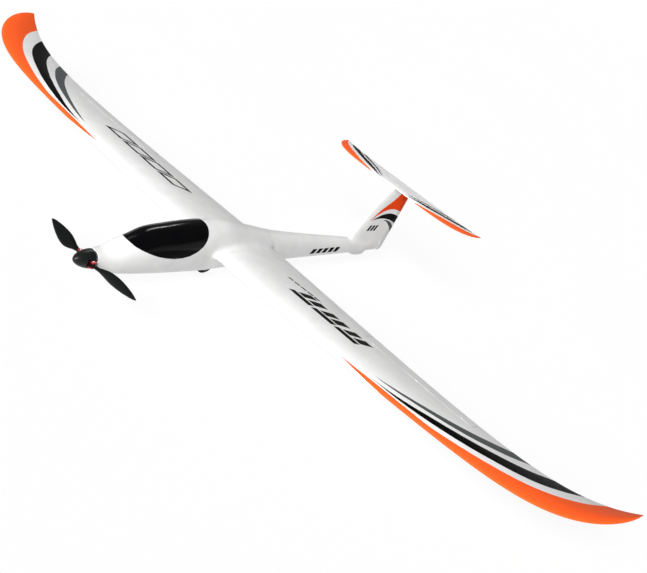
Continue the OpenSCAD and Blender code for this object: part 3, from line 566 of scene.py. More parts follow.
def stab_paint():
    p = Paint("foam_stabilizer", 35, 225, "x", 880, 990, "y")
    edge = [(35, 884), (60, 886), (80, 889), (110, 897), (128, 904), (150, 915), (178, 931),
            (205, 955), (216, 975), (222, 988), (225, 989)]
    wrap = p.s.math("MULTIPLY_ADD", p.ax, 0.067, p.z)
    p.spray(p.all_of(p.below(edge), p.s.math("GREATER_THAN", wrap, STAB_Z + 4.3)), ORANGE)
    black_low = [(35, 889), (48, 890), (75, 898), (102, 906), (126, 918), (150, 930),
                 (176, 946), (193, 962), (206, 980), (225, 988)]
    black_high = [(35, 889), (48, 892), (75, 908), (97, 920), (118, 930), (140, 943),
                  (160, 958), (176, 973), (188, 986), (225, 990)]
    p.spray(p.band(black_low, black_high), PAINT_BLACK)
    grey_low = [(35, 899), (50, 900), (70, 911), (92, 925), (117, 936), (138, 949),
                (150, 961), (168, 982), (225, 990)]
    grey_high = [(35, 899), (50, 904), (74, 922), (95, 936), (109, 944), (129, 955),
                 (142, 965), (158, 984), (225, 990)]
    p.spray(p.band(grey_low, grey_high), PAINT_GREY)
    return p.done()


def body_paint():
    p = Paint("foam_body", 850, 995, "y", 10, 180, "z", shine=0.02)
    s = p.s
    orange_high = [(850, 52), (862, 68), (885, 97), (915, 121), (940, 146), (956, 168),
                   (975, 180), (995, 180)]
    orange_low = [(850, 58), (862, 67), (885, 86), (915, 98), (945, 100), (970, 95), (995, 89)]
    p.spray(p.band(orange_low, orange_high), FIN_ORANGE)
    black_high = [(850, 60), (870, 70), (895, 82), (926, 88), (955, 86), (995, 74)]
    black_low = [(850, 66), (870, 69.5), (901, 74), (935, 72), (965, 65), (995, 54)]
    p.spray(p.band(black_low, black_high), PAINT_BLACK)
    grey_high = [(850, 66), (910, 69), (935, 69), (960, 62), (980, 52), (995, 42)]
    grey_low = [(850, 72), (912, 70), (935, 65.5), (957, 54), (977, 41), (995, 26)]
    p.spray(p.band(grey_low, grey_high), PAINT_GREY)
    # slanted bars on the boom's sides and on the fin: ends, heights, pitch, painted share of it
    lean = s.math("SUBTRACT", p.y, s.math("MULTIPLY", p.z, 0.45))
    for start, end, low, high, pitch, share in ((662.0, 779.0, -9.0, 4.2, 23.5, 0.7),
                                                (850.0, 890.0, 39.5, 55.0, 14.0, 0.68)):
        turn = s.math("FRACT", s.math("DIVIDE", s.math("SUBTRACT", lean, start), pitch))
        p.spray(p.all_of(p.within(lean, start, end), p.within(p.z, low, high),
                         s.math("LESS_THAN", turn, share)), PAINT_BLACK)
    return p.done()


def plastic(name, colour, shade, rough, bump=0.05, scale=500.0, coat=0.0, shine=0.45):
    s = Shader(name, Specular_IOR_Level=shine, Coat_Weight=coat, Coat_Roughness=0.06)
    s.colour(s.mix(s.between(s.noise(35.0, 3.0, 0.6), 0.3, 0.7), colour, shade))
    s.roughness(s.between(s.noise(90.0, 4.0, 0.6), 0.2, 0.8, rough * 0.85, rough * 1.2))
    s.bump(s.noise(scale, 3.0, 0.5), bump, 0.0001)
    return s.material


def metal(name, colour, rough, direction=None):
    s = Shader(name, Metallic=1.0)
    s.colour(s.mix(s.noise(70.0, 2.0, 0.5), colour, tuple(c * 0.86 for c in colour[:3]) + (1,)))
    stretch = {None: (300, 300, 300), "x": (30, 1500, 1500), "y": (1500, 30, 1500),
               "z": (1500, 1500, 30)}[direction]
    brushed = s.noise(1.0, 3.0, 0.6, s.scaled(*stretch))
    s.roughness(s.between(brushed, 0.2, 0.8, rough * 0.8, rough * 1.3))
    s.bump(brushed, 0.12, 0.00004)
    return s.material


def carbon_tube():
    s = Shader("carbon_fibre", Coat_Weight=0.6, Coat_Roughness=0.08)
    grain = s.noise(1.0, 4.0, 0.65, s.scaled(40, 40, 1800))
    s.colour(s.mix(grain, (0.012, 0.012, 0.014, 1), (0.05, 0.05, 0.055, 1)))
    s.roughness(s.between(grain, 0.2, 0.8, 0.25, 0.45))
    s.bump(grain, 0.15, 0.00005)
    return s.material


def webbing():
    s = Shader("strap_weave", Sheen_Weight=0.35, Sheen_Roughness=0.4)
    warp = s.wave(420.0, "Y")
    weft = s.wave(420.0, "DIAGONAL")
    weave = s.math("MULTIPLY", warp, weft)
    s.colour(s.mix(weave, (0.008, 0.008, 0.009, 1), (0.035, 0.035, 0.038, 1)))
    s.roughness(s.between(weave, 0.0, 1.0, 0.75, 0.95))
    s.bump(weave, 0.6, 0.0003)
    return s.material


def plywood():
    s = Shader("plywood_grain", Specular_IOR_Level=0.3)
    grain = s.noise(1.0, 5.0, 0.65, s.scaled(260, 14, 260))
    s.colour(s.mix(grain, (0.60, 0.42, 0.24, 1), (0.78, 0.62, 0.42, 1)))
    s.roughness(s.between(grain, 0.2, 0.8, 0.5, 0.7))
    s.bump(grain, 0.25, 0.0001)
    return s.material


def shrink_wrap(name, colour, shade):
    s = Shader(name, Specular_IOR_Level=0.5, Coat_Weight=0.35, Coat_Roughness=0.12)
    folds = s.noise(1.0, 3.0, 0.55, s.scaled(30, 110, 60))
    s.colour(s.mix(folds, colour, shade))
    s.roughness(s.between(folds, 0.2, 0.8, 0.22, 0.4))
    s.bump(folds, 0.35, 0.0006)
    return s.material


def rubber():
    s = Shader("tyre_foam_rubber", Specular_IOR_Level=0.25)
    pores = s.between(s.cells(900.0), 0.0, 0.25)
    s.colour(s.mix(s.noise(80.0, 3.0, 0.6), (0.012, 0.012, 0.012, 1), (0.03, 0.03, 0.03, 1)))
    s.roughness(s.between(s.noise(200.0, 3.0, 0.6), 0.2, 0.8, 0.7, 0.9))
    s.bump(pores, 0.3, 0.0002)
    return s.material


def blade_plastic():
    s = Shader("blade_plastic", Specular_IOR_Level=0.06)
    flow = s.noise(1.0, 3.0, 0.6, s.scaled(20, 90, 90))
    s.colour(s.mix(flow, srgb(11, 13, 12), srgb(15, 18, 16)))
    s.roughness(s.between(flow, 0.2, 0.8, 0.3, 0.42))
    s.bump(s.noise(700.0, 2.0, 0.5), 0.06, 0.0001)
    return s.material


WING_FOAM = wing_paint()
STAB_FOAM = stab_paint()
BODY_FOAM = body_paint()
CANOPY_BLACK = plastic("canopy_gloss", (0.0015, 0.0015, 0.002, 1), (0.0025, 0.0025, 0.003, 1),
                       0.14, 0.01, 120.0, shine=0.1)
BLADE = blade_plastic()
SPINNER = plastic("spinner_satin", srgb(18, 20, 19), srgb(23, 25, 24), 0.34, 0.05, 800.0,
                  shine=0.25)
BLACK_PLASTIC = plastic("black_nylon", (0.02, 0.02, 0.02, 1), (0.032, 0.032, 0.032, 1), 0.5,
                        0.2, 900.0)
NYLON = plastic("natural_nylon", (0.80, 0.80, 0.75, 1), (0.72, 0.72, 0.67, 1), 0.4, 0.08, 700.0)
HUB = plastic("hub_nylon", (0.74, 0.74, 0.72, 1), (0.66, 0.66, 0.64, 1), 0.4, 0.08, 700.0)
SERVO = plastic("servo_blue", (0.02, 0.07, 0.30, 1), (0.03, 0.10, 0.38, 1), 0.22, 0.03, 300.0,
                0.3)
STEEL = metal("steel_wire", (0.60, 0.61, 0.63, 1), 0.28)
RED_ALUMINIUM = metal("red_anodised", (0.55, 0.03, 0.05, 1), 0.3, "y")
ALUMINIUM = metal("machined_aluminium", (0.76, 0.77, 0.78, 1), 0.34, "y")
BELL = metal("black_anodised", (0.05, 0.05, 0.055, 1), 0.32, "x")
MAGNET = metal("nickel_plate", (0.78, 0.77, 0.74, 1), 0.14)

BY_SLOT = {
    "foam": BODY_FOAM, "canopy_black": CANOPY_BLACK, "black_plastic": BLACK_PLASTIC,
    "prop_black": SPINNER, "carbon": carbon_tube(), "nylon": NYLON, "aluminium": ALUMINIUM,
    "anodised_red": RED_ALUMINIUM,
    "bell": BELL, "steel": STEEL, "magnet": MAGNET, "servo_case": SERVO,
    "esc_wrap": shrink_wrap("esc_sleeve", (0.01, 0.02, 0.16, 1), (0.02, 0.04, 0.24, 1)),
    "battery_wrap": shrink_wrap("battery_sleeve", (0.58, 0.40, 0.02, 1), (0.66, 0.48, 0.04, 1)),
    "strap": webbing(), "plywood": plywood(),
    "wire": plastic("silicone_wire", (0.40, 0.01, 0.01, 1), (0.46, 0.02, 0.02, 1), 0.45, 0.1),
    "hub": HUB, "tyre": rubber()}

for row in frame["record"]["subparts"]:
    mesh = nodes[row["node"]].data
    mesh.materials.clear()
    mesh.materials.append(BY_SLOT[row["material_slot"]])


# ---------- fuselage ----------

VOXEL = 0.0022
WING_FILLET = 17.0
FIN_FILLET = 10.0


def tree_of(ob):
    mesh = ob.data
    return BVHTree.FromPolygons([v.co for v in mesh.vertices],
                                [tuple(f.vertices) for f in mesh.polygons])


def build_fuselage():
    """Body, fin and wing roots in one skin, with smooth fillets where they meet.

    The remesh only joins the skins: each vertex then goes back to the nearest exact surface, and
    only those near an inner corner are smoothed.
    """
    ys = [34, 37] + spread(40, 300, 44) + spread(300, 600, 40)[1:] + spread(600, 966, 46)[1:]
    body = loft("body", [body_ring(y, 80) for y in ys])
    zs = [-8, 0] + spread(8, 160, 40)
    fin = loft("fin", [fin_ring(z, 966) for z in zs])
    # the root's upper side thickens and its leading edge runs forward towards the body
    swells = [(10, 2.6), (14, 2.3), (18, 2.04), (22, 1.8), (29, 1.42), (37, 1.14), (ROOT_X, 1.0),
              (50, 1.0)]
    fairings = []
    for side in (1, -1):
        rings = []
        for x, swell in swells:
            lead = 0.9 * max(0.0, 40 - x)
            ring = wing_ring(x, 40, swell, lead)
            rings.append([(side * a, b, c) for a, b, c in ring])
        fairings.append(loft("fairing", rings))
    near_body, near_fin = tree_of(body), tree_of(fin)
    near_wing = [tree_of(f) for f in fairings]
    shell = join("fuselage_shell_port", [body, fin] + fairings)
    mod = shell.modifiers.new("skin", "REMESH")
    mod.mode = "VOXEL"
    mod.voxel_size = VOXEL
    mod.adaptivity = 0.0
    apply_modifiers(shell)
    mesh = shell.data
    count = len(mesh.vertices)
    co = np.zeros(count * 3)
    mesh.vertices.foreach_get("co", co)
    co = co.reshape(-1, 3)
    weight = np.zeros(count)
    for i in range(count):
        p = Vector(co[i])
        hits = [t.find_nearest(p) for t in (near_body, near_fin, near_wing[p.x < 0])]
        far = [h[3] * 1000 for h in hits]
        best = min(range(3), key=lambda k: far[k])
        co[i] = hits[best][0]
        x = abs(p.x) * 1000
        inboard = min(1.0, max(0.0, (44.0 - x) / 6.0))
        wing_corner = max(0.0, 1 - (far[0] + far[2]) / WING_FILLET) * inboard
        fin_corner = max(0.0, 1 - (far[0] + far[1]) / FIN_FILLET)
        weight[i] = min(1.0, 1.6 * max(wing_corner, fin_corner))
    mesh.vertices.foreach_set("co", co.reshape(-1))
    group = shell.vertex_groups.new(name="blend")
    for i in np.nonzero(weight)[0]:
        group.add([int(i)], float(weight[i]), "REPLACE")
    mod = shell.modifiers.new("fillet", "SMOOTH")
    mod.factor = 0.5
    mod.iterations = 90
    mod.vertex_group = "blend"
    apply_modifiers(shell)
    return shell


def rudder_seat():
    """Outline in plan of the rudder's round seat and all behind it."""
    y = RUDDER_Y - 0.1
    arc = [math.pi - math.pi * i / 32 for i in range(33)]
    return ([(-40, y)] + [(RUDDER_SEAT * math.cos(a), y - RUDDER_SEAT * math.sin(a)) for a in arc]
            + [(40, y), (40, 1000), (-40, 1000)])


def cut_fuselage(shell):
    """Opens the canopy bay, the motor bore, the wing ends and every pocket of the CAD halves."""
    canopy = side_prism("cut", SILL + [(281.5, 120), (98, 120)], -60, 60)
    bay = loft("cut", [body_ring(y, 56, 5.6) for y in spread(86, 281, 24)])
    combine(bay, [block("cut", -60, 60, 60, 300, -17.2, 90)], "INTERSECT")
    ends = [block("cut", -60, 60, 20, 40, -60, 60),
            block("cut", ROOT_X - 0.05, 80, 250, 560, -60, 90),
            block("cut", -80, 0.05 - ROOT_X, 250, 560, -60, 90),
            block("cut", -20, 20, 860, 963, FIN_TOP, 180)]
    motor = revolve("cut", [(15.7, 36), (15.7, 45.2), (15.2, 45.2), (15.2, 83), (8, 83),
                            (8, 90)], 48, on_thrust)
    pockets = [
        plan_prism("cut", rudder_seat(), -60, 190),
        # wheel box
        block("cut", -10.2, 10.2, 316.8, 373.2, -60, -0.8),
        # elevator servo, rudder arm, rudder horn
        block("cut", -17, 9.2, 870, 890.4, -9.5, -0.5),
        block("cut", -20, 4.5, 921, 939, 4.2, 7.6),
        block("cut", -20, -1, 957, 963, 4.4, 7.2),
        # room on the fin's top for the elevator to swing down
        side_prism("cut", [(944, FIN_TOP), (962.5, FIN_TOP - 4), (962.5, FIN_TOP + 4),
                           (944, FIN_TOP + 4)], -20, 20),
        # rudder servo, tail bumper, canopy magnet
        block("cut", -4.5, 4.5, 915, 935.4, -17.2, 4.0),
        block("cut", -4.2, 4.2, 851.8, 920.2, -60, -19),
        revolve("cut", [(4.1, 278), (4.1, 286)], 32, lambda a, b, s: (a, s, 62 + b))]
    combine(shell, [canopy, bay, motor] + ends + pockets)


def half_of(ob, name, sign):
    """The part of ob beyond a plane just off the middle, closed."""
    work = bmesh.new()
    work.from_mesh(ob.data)
    bmesh.ops.bisect_plane(
        work, geom=work.verts[:] + work.edges[:] + work.faces[:], dist=1e-8,
        plane_co=(sign * 0.00005, 0, 0), plane_no=(-sign, 0, 0), clear_outer=True)
    rim = [e for e in work.edges if e.is_boundary]
    bmesh.ops.triangle_fill(work, edges=rim, use_beauty=True, use_dissolve=False)
    bmesh.ops.recalc_face_normals(work, faces=work.faces)
    mesh = bpy.data.meshes.new(name)
    work.to_mesh(mesh)
    work.free()
    return add_object(name, mesh)


shell = build_fuselage()
cut_fuselage(shell)
for side, sign in (("port", 1), ("starboard", -1)):
    half = half_of(shell, "fuselage_half_" + side, sign)
    finish_piece(half, "airframe", "foam", BODY_FOAM, "fuselage_" + side,
                 angle=math.radians(42))
bpy.data.objects.remove(shell)


# ---------- wing and ailerons ----------

GAP = 0.6
COVE_GAP = 0.35
AILERON = (330.0, 600.0)
HINGE_PART = 0.76


def hinge_point(x):
    chord = wing_te(x) - wing_le(x)
    return Vector((x, wing_le(x) + HINGE_PART * chord,
                   wing_height(x) + chord * camber(HINGE_PART)))


def hinge_radius(x):
    return (wing_te(x) - wing_le(x)) * (0.11 - 0.02 * x / HALF_SPAN) * foil(HINGE_PART)


HINGE_A, HINGE_B = (hinge_point(x) for x in AILERON)
HINGE_RUN = HINGE_B - HINGE_A
HINGE_MID = (HINGE_A + HINGE_B) / 2
HINGE_TURN = (Matrix.Rotation(math.atan2(HINGE_RUN.y, HINGE_RUN.x), 3, "Z")
              @ Matrix.Rotation(-math.asin(HINGE_RUN.z / HINGE_RUN.length), 3, "Y"))


def at_hinge(x, y, z):
    return tuple(HINGE_MID + HINGE_TURN @ Vector((x, y, z)))


def hinge_prism(name, outline, z0, z1):
    return prism(name, outline, at_hinge, z0, z1)


def aileron_prism(ahead, side):
    x0, x1 = AILERON[0] - side, AILERON[1] + side
    return plan_prism("cut", [(x0, HINGE_A.y - ahead), (x1, HINGE_B.y - ahead), (x1, 560),
                              (x0, 560)], -20, 120)


def wing_loft(name):
    tip = 640.0
    xs = spread(PANEL_X, tip, 54)
    xs += [tip + (HALF_SPAN - tip) * math.sin(math.radians(a)) for a in spread(2, 88, 43)]
    return loft(name, [wing_ring(x, 40) for x in xs + [HALF_SPAN]])


def build_wing():
    """The port panel with its aileron cut, the cove of the hinge and the servo's pocket."""
    pocket = [(-27.2, -71.9), (-12.2, -71.9), (-12.2, -76.7), (-8.2, -76.7), (-8.2, -71.9),
              (-3.8, -71.9), (-3.8, -61.2), (4.5, -61.2), (4.5, -48.8), (-3.8, -48.8),
              (-3.8, -48.9), (-8.2, -48.9), (-8.2, -44.3), (-12.2, -44.3), (-12.2, -48.9),
              (-27.2, -48.9)]
    half = HINGE_RUN.length / 2 + GAP
    below = hinge_prism("below", rectangle(-half - 5, half + 5, -30, 150), -40, 0)
    bevel = combine(aileron_prism(hinge_radius(AILERON[0]) + GAP, GAP), [below], "INTERSECT")
    r0, r1 = (hinge_radius(x) + COVE_GAP for x in AILERON)
    cove = revolve("cove", [(r0, -half), (r1, half)], 48, lambda a, b, s: at_hinge(s, a, b))
    return combine(wing_loft("wing_panel_port"), [
        aileron_prism(0, GAP), cove, bevel, hinge_prism("cut", pocket, -14, 6.2)])


def build_aileron():
    surface = combine(wing_loft("aileron_surface_port"), [aileron_prism(0, -GAP)], "INTERSECT")
    half = HINGE_RUN.length / 2 - GAP
    r0, r1 = (hinge_radius(x) - 0.1 for x in AILERON)
    nose = revolve("nose", [(r0, -half), (r1, half)], 40, lambda a, b, s: at_hinge(s, a, b))
    combine(surface, [nose], "UNION")
    rooms = [hinge_prism("cut", rectangle(s - 3.1, s + 3.1, -6, 1.9), -6, 6)
             for s in (-110, 0, 110)]
    rooms.append(hinge_prism("cut", rectangle(-0.1, 1.7, -2.6, 11), -12, -2))
    return combine(surface, rooms)


wing = build_wing()
finish_piece(mirrored(wing, "wing_panel_starboard"), "airframe", "foam", WING_FOAM,
             "wing_starboard")
finish_piece(wing, "airframe", "foam", WING_FOAM, "wing_port")
aileron = build_aileron()
finish_piece(mirrored(aileron, "aileron_surface_starboard"), "aileron_starboard", "foam",
             WING_FOAM, "aileron_starboard")
finish_piece(aileron, "aileron_port", "foam", WING_FOAM, "aileron_port")
rib = loft("rib", [wing_ring(x, 40) for x in (ROOT_X, PANEL_X)])
ribs = join("root_rib_pair", [mirrored(rib, "rib_b"), rib])
finish_piece(ribs, "airframe", "nylon", NYLON, "root_ribs")


# ---------- tail ----------

def stab_loft(name):
    out = [120 + 101 * math.sin(math.radians(a)) for a in spread(0, 88, 36)] + [STAB_HALF]
    xs = spread(0, 120, 12)[:-1] + out
    return loft(name, [stab_ring(x, 26) for x in [-x for x in reversed(xs[1:])] + xs])


def on_elevator_hinge(a, b, s):
    return (s, ELEVATOR_Y + a, STAB_Z + b)


def build_stabilizer():
    stab = stab_loft("stabilizer_panel")
    combine(stab, [block("pad", -7, 7, 893, 933, FIN_TOP, 160)], "UNION")
    end = ELEVATOR_HALF + ELEVATOR_GAP
    cuts = [block("cut", -end, end, ELEVATOR_Y, 1000, 100, 200),
            block("cut", -end, end, ELEVATOR_Y - 2.8, 1000, 100, STAB_Z),
            revolve("cut", [(ELEVATOR_COVE, -end), (ELEVATOR_COVE, end)], 40, on_elevator_hinge)]
    for y in (902, 926):
        cuts.append(revolve("cut", [(1.6, 150), (1.6, 162), (3.1, 162), (3.1, 180)], 32,
                            upright(0, y)))
    return combine(stab, cuts)


def build_elevator():
    aft = block("cut", -ELEVATOR_HALF, ELEVATOR_HALF, ELEVATOR_Y, 1000, 100, 200)
    surface = combine(stab_loft("elevator_surface"), [aft], "INTERSECT")
    nose = revolve("nose", [(ELEVATOR_NOSE, -ELEVATOR_HALF), (ELEVATOR_NOSE, ELEVATOR_HALF)], 32,
                   on_elevator_hinge)
    combine(surface, [nose], "UNION")
    rooms = [block("cut", s - 3.1, s + 3.1, ELEVATOR_Y - 4, ELEVATOR_Y + 1.6, STAB_Z - 4,
                   STAB_Z + 4) for s in (-150, -50, 50, 150)]
    rooms.append(block("cut", -14.7, -12.9, ELEVATOR_Y + 1.8, ELEVATOR_Y + 15.2, STAB_Z - 12,
                       STAB_Z - 0.8))
    return combine(surface, rooms)


RUDDER_NOSE = 4.7
RUDDER_EDGE = 0.8


def build_rudder():
    """A wedge behind a round nose, with its lower trailing corner rounded off."""
    rings = []
    for z in spread(-20, -8, 14) + spread(-8, 151.5, 20)[1:]:
        reach = 12 - math.sqrt(max(0.0, 144 - (z + 8) ** 2)) if z < -8 else 0.0
        end = LENGTH - reach
        nose = [(RUDDER_NOSE * math.cos(a), RUDDER_Y - RUDDER_NOSE * math.sin(a))
                for a in spread(0, math.pi, 20)]
        flank = []
        for y in spread(RUDDER_Y, end, 8)[1:]:
            aft = (y - RUDDER_Y) / (LENGTH - RUDDER_Y)
            flank.append((RUDDER_NOSE + (RUDDER_EDGE - RUDDER_NOSE) * aft, y))
        outline = nose + [(-x, y) for x, y in flank] + list(reversed(flank))
        rings.append([(x, y, z) for x, y in outline])
    rudder = loft("rudder_surface", rings)
    rooms = [block("cut", -6.2, 6.2, RUDDER_Y - 6.2, RUDDER_Y + 1.9, s - 3.1, s + 3.1)
             for s in (-10, 60, 130)]
    rooms.append(block("cut", -8, -1, RUDDER_Y - 3.6, RUDDER_Y + 8.6, 4.9, 6.7))
    return combine(rudder, rooms)


finish_piece(build_stabilizer(), "airframe", "foam", STAB_FOAM, "stabilizer")
finish_piece(build_elevator(), "elevator", "foam", STAB_FOAM, "elevator")
finish_piece(build_rudder(), "rudder", "foam", BODY_FOAM, "rudder")


def build_skid():
    lower = [(852, -24.5), (856, -27.2), (862, -29.3), (868, -30.8), (876, -32.4), (884, -33),
             (895, -33), (906, -32.8), (912, -31), (916, -27.6), (920, -22)]
    rings = []
    for y in spread(852.2, 919.8, 40):
        foot = hermite(lower, 1, y)
        part = (y - 886) / 34
        wide = 4.0 * (1 - 0.45 * abs(part) ** 3.0)
        ring = []
        for i in range(25):
            a = math.pi + math.pi * i / 24
            ring.append((wide * signed_pow(math.cos(a), 0.55), y,
                         -20 + (foot + 20) * signed_pow(-math.sin(a), 0.55)))
        ring += [(wide, y, -18.2), (-wide, y, -18.2)]
        rings.append(ring)
    return loft("tail_bumper", rings)


finish_piece(build_skid(), "airframe", "foam", BODY_FOAM, "tail_skid")


# ---------- canopy ----------

def build_canopy():
    ys = spread(95, 284, 60)
    canopy = loft("canopy_shell", [body_ring(y, 96) for y in ys])
    inner = loft("cut", [body_ring(y, 96, CANOPY_WALL) for y in spread(93, 286, 60)])
    outline = SILL + [(281.5, 120), (98, 120)]
    inside = [(y - CANOPY_GAP, z + CANOPY_GAP) for y, z in outline]
    combine(canopy, [inner])
    return combine(canopy, [side_prism("cut", inside, -60, 60)], "INTERSECT")


finish_piece(build_canopy(), "canopy", "canopy_black", CANOPY_BLACK, "canopy",
             angle=math.radians(48))


# ---------- propeller and spinner ----------

SPINNER_R = 17.5
SPINNER_LEN = 38.0
FOLD = (18.5, 28.0)
BLADE_PITCH = 127.0
DROOP = math.radians(8)
BLADE_ROWS = [
    (28, 8, 4.4), (35, 11, 3.8), (46, 18.5, 3.2), (60, 25, 2.7), (76, 25.5, 2.3),
    (92, 21.5, 1.9), (106, 15, 1.6), (116, 8.5, 1.3), (122, 2.6, 1)]


def blade_ring(r, count=32):
    chord = hermite(BLADE_ROWS, 1, r)
    thick = hermite(BLADE_ROWS, 2, r)
    turn = math.atan(BLADE_PITCH / (2 * math.pi * r))
    sweep = 3 * math.sin(math.pi * (r - 28) / 94)
    ring = []
    for i in range(count):
        a = 2 * math.pi * i / count
        across = chord / 2 * math.cos(a) + sweep
        up = thick / 2 * math.sin(a) + (0.35 if math.sin(a) > 0 else -0.1) * thick * math.sin(
            a) ** 2
        ring.append((r, -across * math.sin(turn) - up * math.cos(turn),
                     across * math.cos(turn) - up * math.sin(turn)))
    return ring


def build_blade():
    blade = loft("blade_a", [blade_ring(r) for r in spread(28, 122, 54)])
    boss = revolve("boss", [(3.6, -3.5), (4.2, -2.9), (4.2, 2.9), (3.6, 3.5)], 40,
                   upright(FOLD[0], 0))
    neck = []
    for x in spread(FOLD[0], 32.5, 10):
        k = max(0.0, (x - 22) / 10.5)
        high, deep = 3.2 * (1 - 0.1 * k), 3.2 * (1 - 0.25 * k)
        neck.append([(x, deep * signed_pow(math.cos(a), 0.6), high * signed_pow(math.sin(a), 0.6))
                     for a in [2 * math.pi * i / 28 for i in range(28)]])
    combine(blade, [loft("neck", neck), boss], "UNION")
    pin = revolve("cut", [(1.55, -10), (1.55, 10)], 32, upright(FOLD[0], 0))
    combine(blade, [pin])
    # parked: turned back a little about its fold pin
    drawn_at, pin_at = (Vector(placed((FOLD[0], y, 0))) for y in (0, FOLD[1]))
    blade.data.transform(Matrix.Translation(pin_at) @ Matrix.Rotation(DROOP, 4, "Z")
                         @ Matrix.Translation(-drawn_at))
    return blade


blade = build_blade()
axis_at = Vector((0, 0, GROUND / 1000))
turned = blade.data.copy()
turned.transform(Matrix.Translation(axis_at) @ Matrix.Rotation(math.pi, 4, "Y")
                 @ Matrix.Translation(-axis_at))
finish_piece(add_object("blade_b", turned), "blade_starboard", "prop_black", BLADE,
             "blade_starboard")
finish_piece(blade, "blade_port", "prop_black", BLADE, "blade_port")


def spinner_radius(y):
    return SPINNER_R * (1 - ((SPINNER_LEN - y) / SPINNER_LEN) ** 1.9) ** 0.6


def build_spinner():
    outer = [(spinner_radius(y), y)
             for y in [SPINNER_LEN * (1 - math.cos(math.pi / 2 * t)) for t in
                       spread(0.03, 1, 44)]]
    shell = revolve("spinner_shell", [(0.02, 0.0)] + outer, 96, on_thrust)
    inner = [(0.02, 9.0)] + [(r - 1.5, y + 1.5) for r, y in outer if y > 6.5] + [
        (SPINNER_R - 1.5, SPINNER_LEN + 3)]
    cuts = [revolve("cut", inner, 96, on_thrust),
            block("cut", 9, 29, 20, 50, -6.9, 6.9), block("cut", -29, -9, 20, 50, -6.9, 6.9),
            block("cut", -30, 30, SPINNER_LEN - 1.8, 60, -30, 30)]
    return combine(shell, cuts)


finish_piece(build_spinner(), "rotor", "prop_black", SPINNER, "spinner")


# ---------- battery strap ----------

def build_strap():
    """Webbing round the battery and the tray, with its end lapped back on top."""
    x, z0, z1, r = 15.4, -17.6, 6.6, 2.6
    half_thick = 0.4

    def loop(grow):
        out = []
        corners = [(x - r, z0 + r, -90), (x - r, z1 - r, 0), (-x + r, z1 - r, 90),
                   (-x + r, z0 + r, 180)]
        for cx, cz, a0 in corners:
            for a in spread(a0, a0 + 90, 6):
                out.append((cx + (r + grow) * math.cos(math.radians(a)),
                            cz + (r + grow) * math.sin(math.radians(a))))
        return out

    points, faces = [], []
    ys = [172.3, 172.8, 191.2, 191.7]
    inner, outer = loop(-half_thick), loop(half_thick)
    n = len(inner)
    for y, (p, q) in zip(ys, [(0.5, 0.5), (0, 1), (0, 1), (0.5, 0.5)]):
        for t in (p, q):
            points += [(a + (c - a) * t, y, b + (d - b) * t)
                       for (a, b), (c, d) in zip(inner, outer)]
    for j in range(3):
        for k in (0, 1):
            a, b = (2 * j + k) * n, (2 * j + 2 + k) * n
            faces += [(a + i, a + (i + 1) % n, b + (i + 1) % n, b + i) for i in range(n)]
    strap = mesh_object("battery_webbing", points, faces)
    lap = []
    for s in spread(-11, 9, 20):
        lift = 7.05 + 0.5 * max(0.0, (s - 6) / 3) ** 2
        lap.append([(s, 172.6, lift), (s, 191.4, lift), (s, 191.4, lift + 0.75),
                    (s, 172.6, lift + 0.75)])
    return join("battery_webbing_loop", [strap, loft("lap", lap)])


finish_piece(build_strap(), "airframe", "strap", BY_SLOT["strap"], "battery_strap")

# rounder edges on the moulded boxes and machined parts that keep their CAD shape
for name, width in (("battery", 1.6), ("esc", 1.0), ("receiver", 0.8), ("wheel_box", 0.4),
                    ("aileron_servo_port", 0.5), ("aileron_servo_starboard", 0.5),
                    ("elevator_servo", 0.4), ("rudder_servo", 0.4), ("canopy_latch", 0.3),
                    ("equipment_tray", 0.2)):
    mod = nodes[name].modifiers.new("edges", "BEVEL")
    mod.width = width / 1000
    mod.segments = 3
    mod.limit_method = "ANGLE"
    mod.angle_limit = math.radians(50)


# ---------- studio ----------

def seen_by_camera_only(ob):
    ob.visible_diffuse = False
    ob.visible_glossy = False
    ob.visible_shadow = False


def stage_piece(ob, name, glow, low, high):
    shader = Shader(name, Roughness=0.9, Specular_IOR_Level=0.0, Emission_Color=(1, 1, 1, 1),
                    Emission_Strength=glow)
    shader.colour(shader.mix(shader.noise(1.2, 2.0, 0.5), (low, low, low, 1),
                             (high, high, high, 1)))
    ob.data.materials.append(shader.material)
    seen_by_camera_only(ob)


REACH = 30.0
floor_mesh = bpy.data.meshes.new("floor")
floor_mesh.from_pydata([(-REACH, -REACH, 0), (REACH, -REACH, 0), (REACH, REACH, 0),
                        (-REACH, REACH, 0)], [], [(0, 1, 2, 3)])
stage_piece(add_object("floor", floor_mesh), "pale_floor", 0.90, 0.10, 0.11)
dome = revolve("backdrop", [(REACH * 900 * math.cos(math.radians(a)),
                             REACH * 900 * math.sin(math.radians(a))) for a in spread(-1, 89, 30)],
               64, lambda a, b, s: (a, b + LENGTH / 2, s - GROUND))
stage_piece(dome, "pale_backdrop", 1.0, 0.0, 0.0)

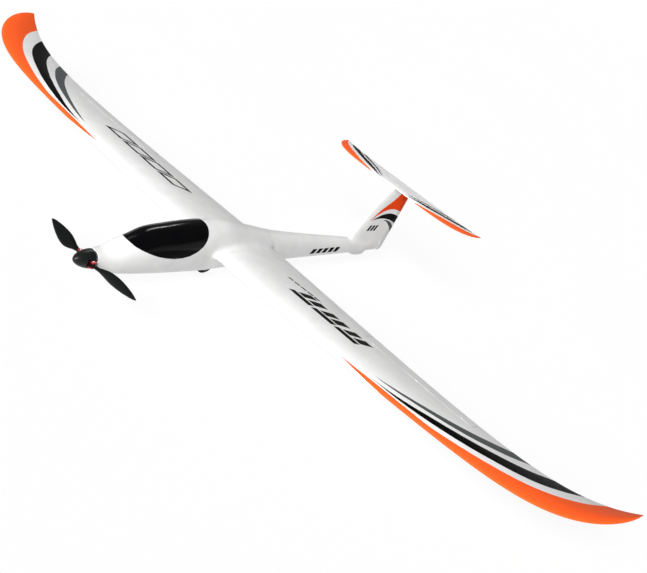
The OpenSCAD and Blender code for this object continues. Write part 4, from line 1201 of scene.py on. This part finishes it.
# the light round the object, by height: lit from the floor, a bright horizon, dim overhead
world = bpy.data.worlds.new("studio")
scene.world = world
world.use_nodes = True
sky = world.node_tree
heading = sky.nodes.new("ShaderNodeTexCoord")
parts = sky.nodes.new("ShaderNodeSeparateXYZ")
level = sky.nodes.new("ShaderNodeMapRange")
ramp = sky.nodes.new("ShaderNodeValToRGB")
level.inputs["From Min"].default_value = -1
sky.links.new(heading.outputs["Generated"], parts.inputs[0])
sky.links.new(parts.outputs["Z"], level.inputs["Value"])
sky.links.new(level.outputs[0], ramp.inputs["Fac"])
sky.links.new(ramp.outputs["Color"], sky.nodes["Background"].inputs["Color"])
heights = [(-1.0, 0.95), (-0.42, 0.95), (-0.36, 0.3), (-0.04, 0.3), (-0.02, 0.9), (0.1, 0.9),
           (0.25, 0.15)]
for i, (height, shade) in enumerate(heights):
    stops = ramp.color_ramp.elements
    stop = stops[i] if i < 2 else stops.new(0.999)
    stop.position = (height + 1) / 2
    stop.color = (shade, shade, shade, 1)


def aimed(ob, at, aim):
    scene.collection.objects.link(ob)
    ob.location = at
    ob.rotation_euler = (Vector(aim) - Vector(at)).to_track_quat("-Z", "Y").to_euler()


def soft_sun(name, toward, strength, angle):
    data = bpy.data.lights.new(name, "SUN")
    data.energy = strength
    data.angle = math.radians(angle)
    aimed(bpy.data.objects.new(name, data), toward, (0, 0, 0))


def streak_light(name, ends, aim, width, power):
    """A long thin light between two points, which only shows as a reflection."""
    a, b = (Vector(p) for p in ends)
    data = bpy.data.lights.new(name, "AREA")
    data.shape = "RECTANGLE"
    data.size, data.size_y = (b - a).length, width
    data.energy = power
    ob = bpy.data.objects.new(name, data)
    scene.collection.objects.link(ob)
    middle = (a + b) / 2
    along = (b - a).normalized()
    away = middle - Vector(aim)
    away = (away - away.dot(along) * along).normalized()
    turn = Matrix((along, away.cross(along), away)).transposed().to_4x4()
    ob.matrix_world = Matrix.Translation(middle) @ turn
    ob.visible_diffuse = False
    ob.visible_camera = False


soft_sun("key", (0.15, -0.86, 0.47), 4.8, 30)
streak_light("canopy_streak", [(-0.89, 0.0, 1.37), (-0.86, 0.69, 1.03)], (0, -0.33, 0.1), 0.07,
             4)

# camera: azimuth, elevation and roll of the view, in degrees
AZIMUTH, ELEVATION, ROLL = (math.radians(a) for a in (27.86, 22.26, 28.90))
back = Vector((math.sin(AZIMUTH) * math.cos(ELEVATION),
               -math.cos(AZIMUTH) * math.cos(ELEVATION), math.sin(ELEVATION)))
right = (-back).cross(Vector((0, 0, 1))).normalized()
up = right.cross(-back)
rolled = math.cos(ROLL) * right + math.sin(ROLL) * up
up = math.cos(ROLL) * up - math.sin(ROLL) * right
camera_data = bpy.data.cameras.new("camera")
camera_data.lens = 53.42
camera_data.sensor_width = 36
camera_data.clip_end = 200
camera = bpy.data.objects.new("camera", camera_data)
scene.collection.objects.link(camera)
turn = Matrix((rolled, up, back)).transposed().to_4x4()
camera.matrix_world = Matrix.Translation((1.00171, -1.56447, 0.80293)) @ turn
scene.camera = camera
scene.view_settings.view_transform = "Standard"
scene.view_settings.look = "None"

bpy.context.view_layer.update()
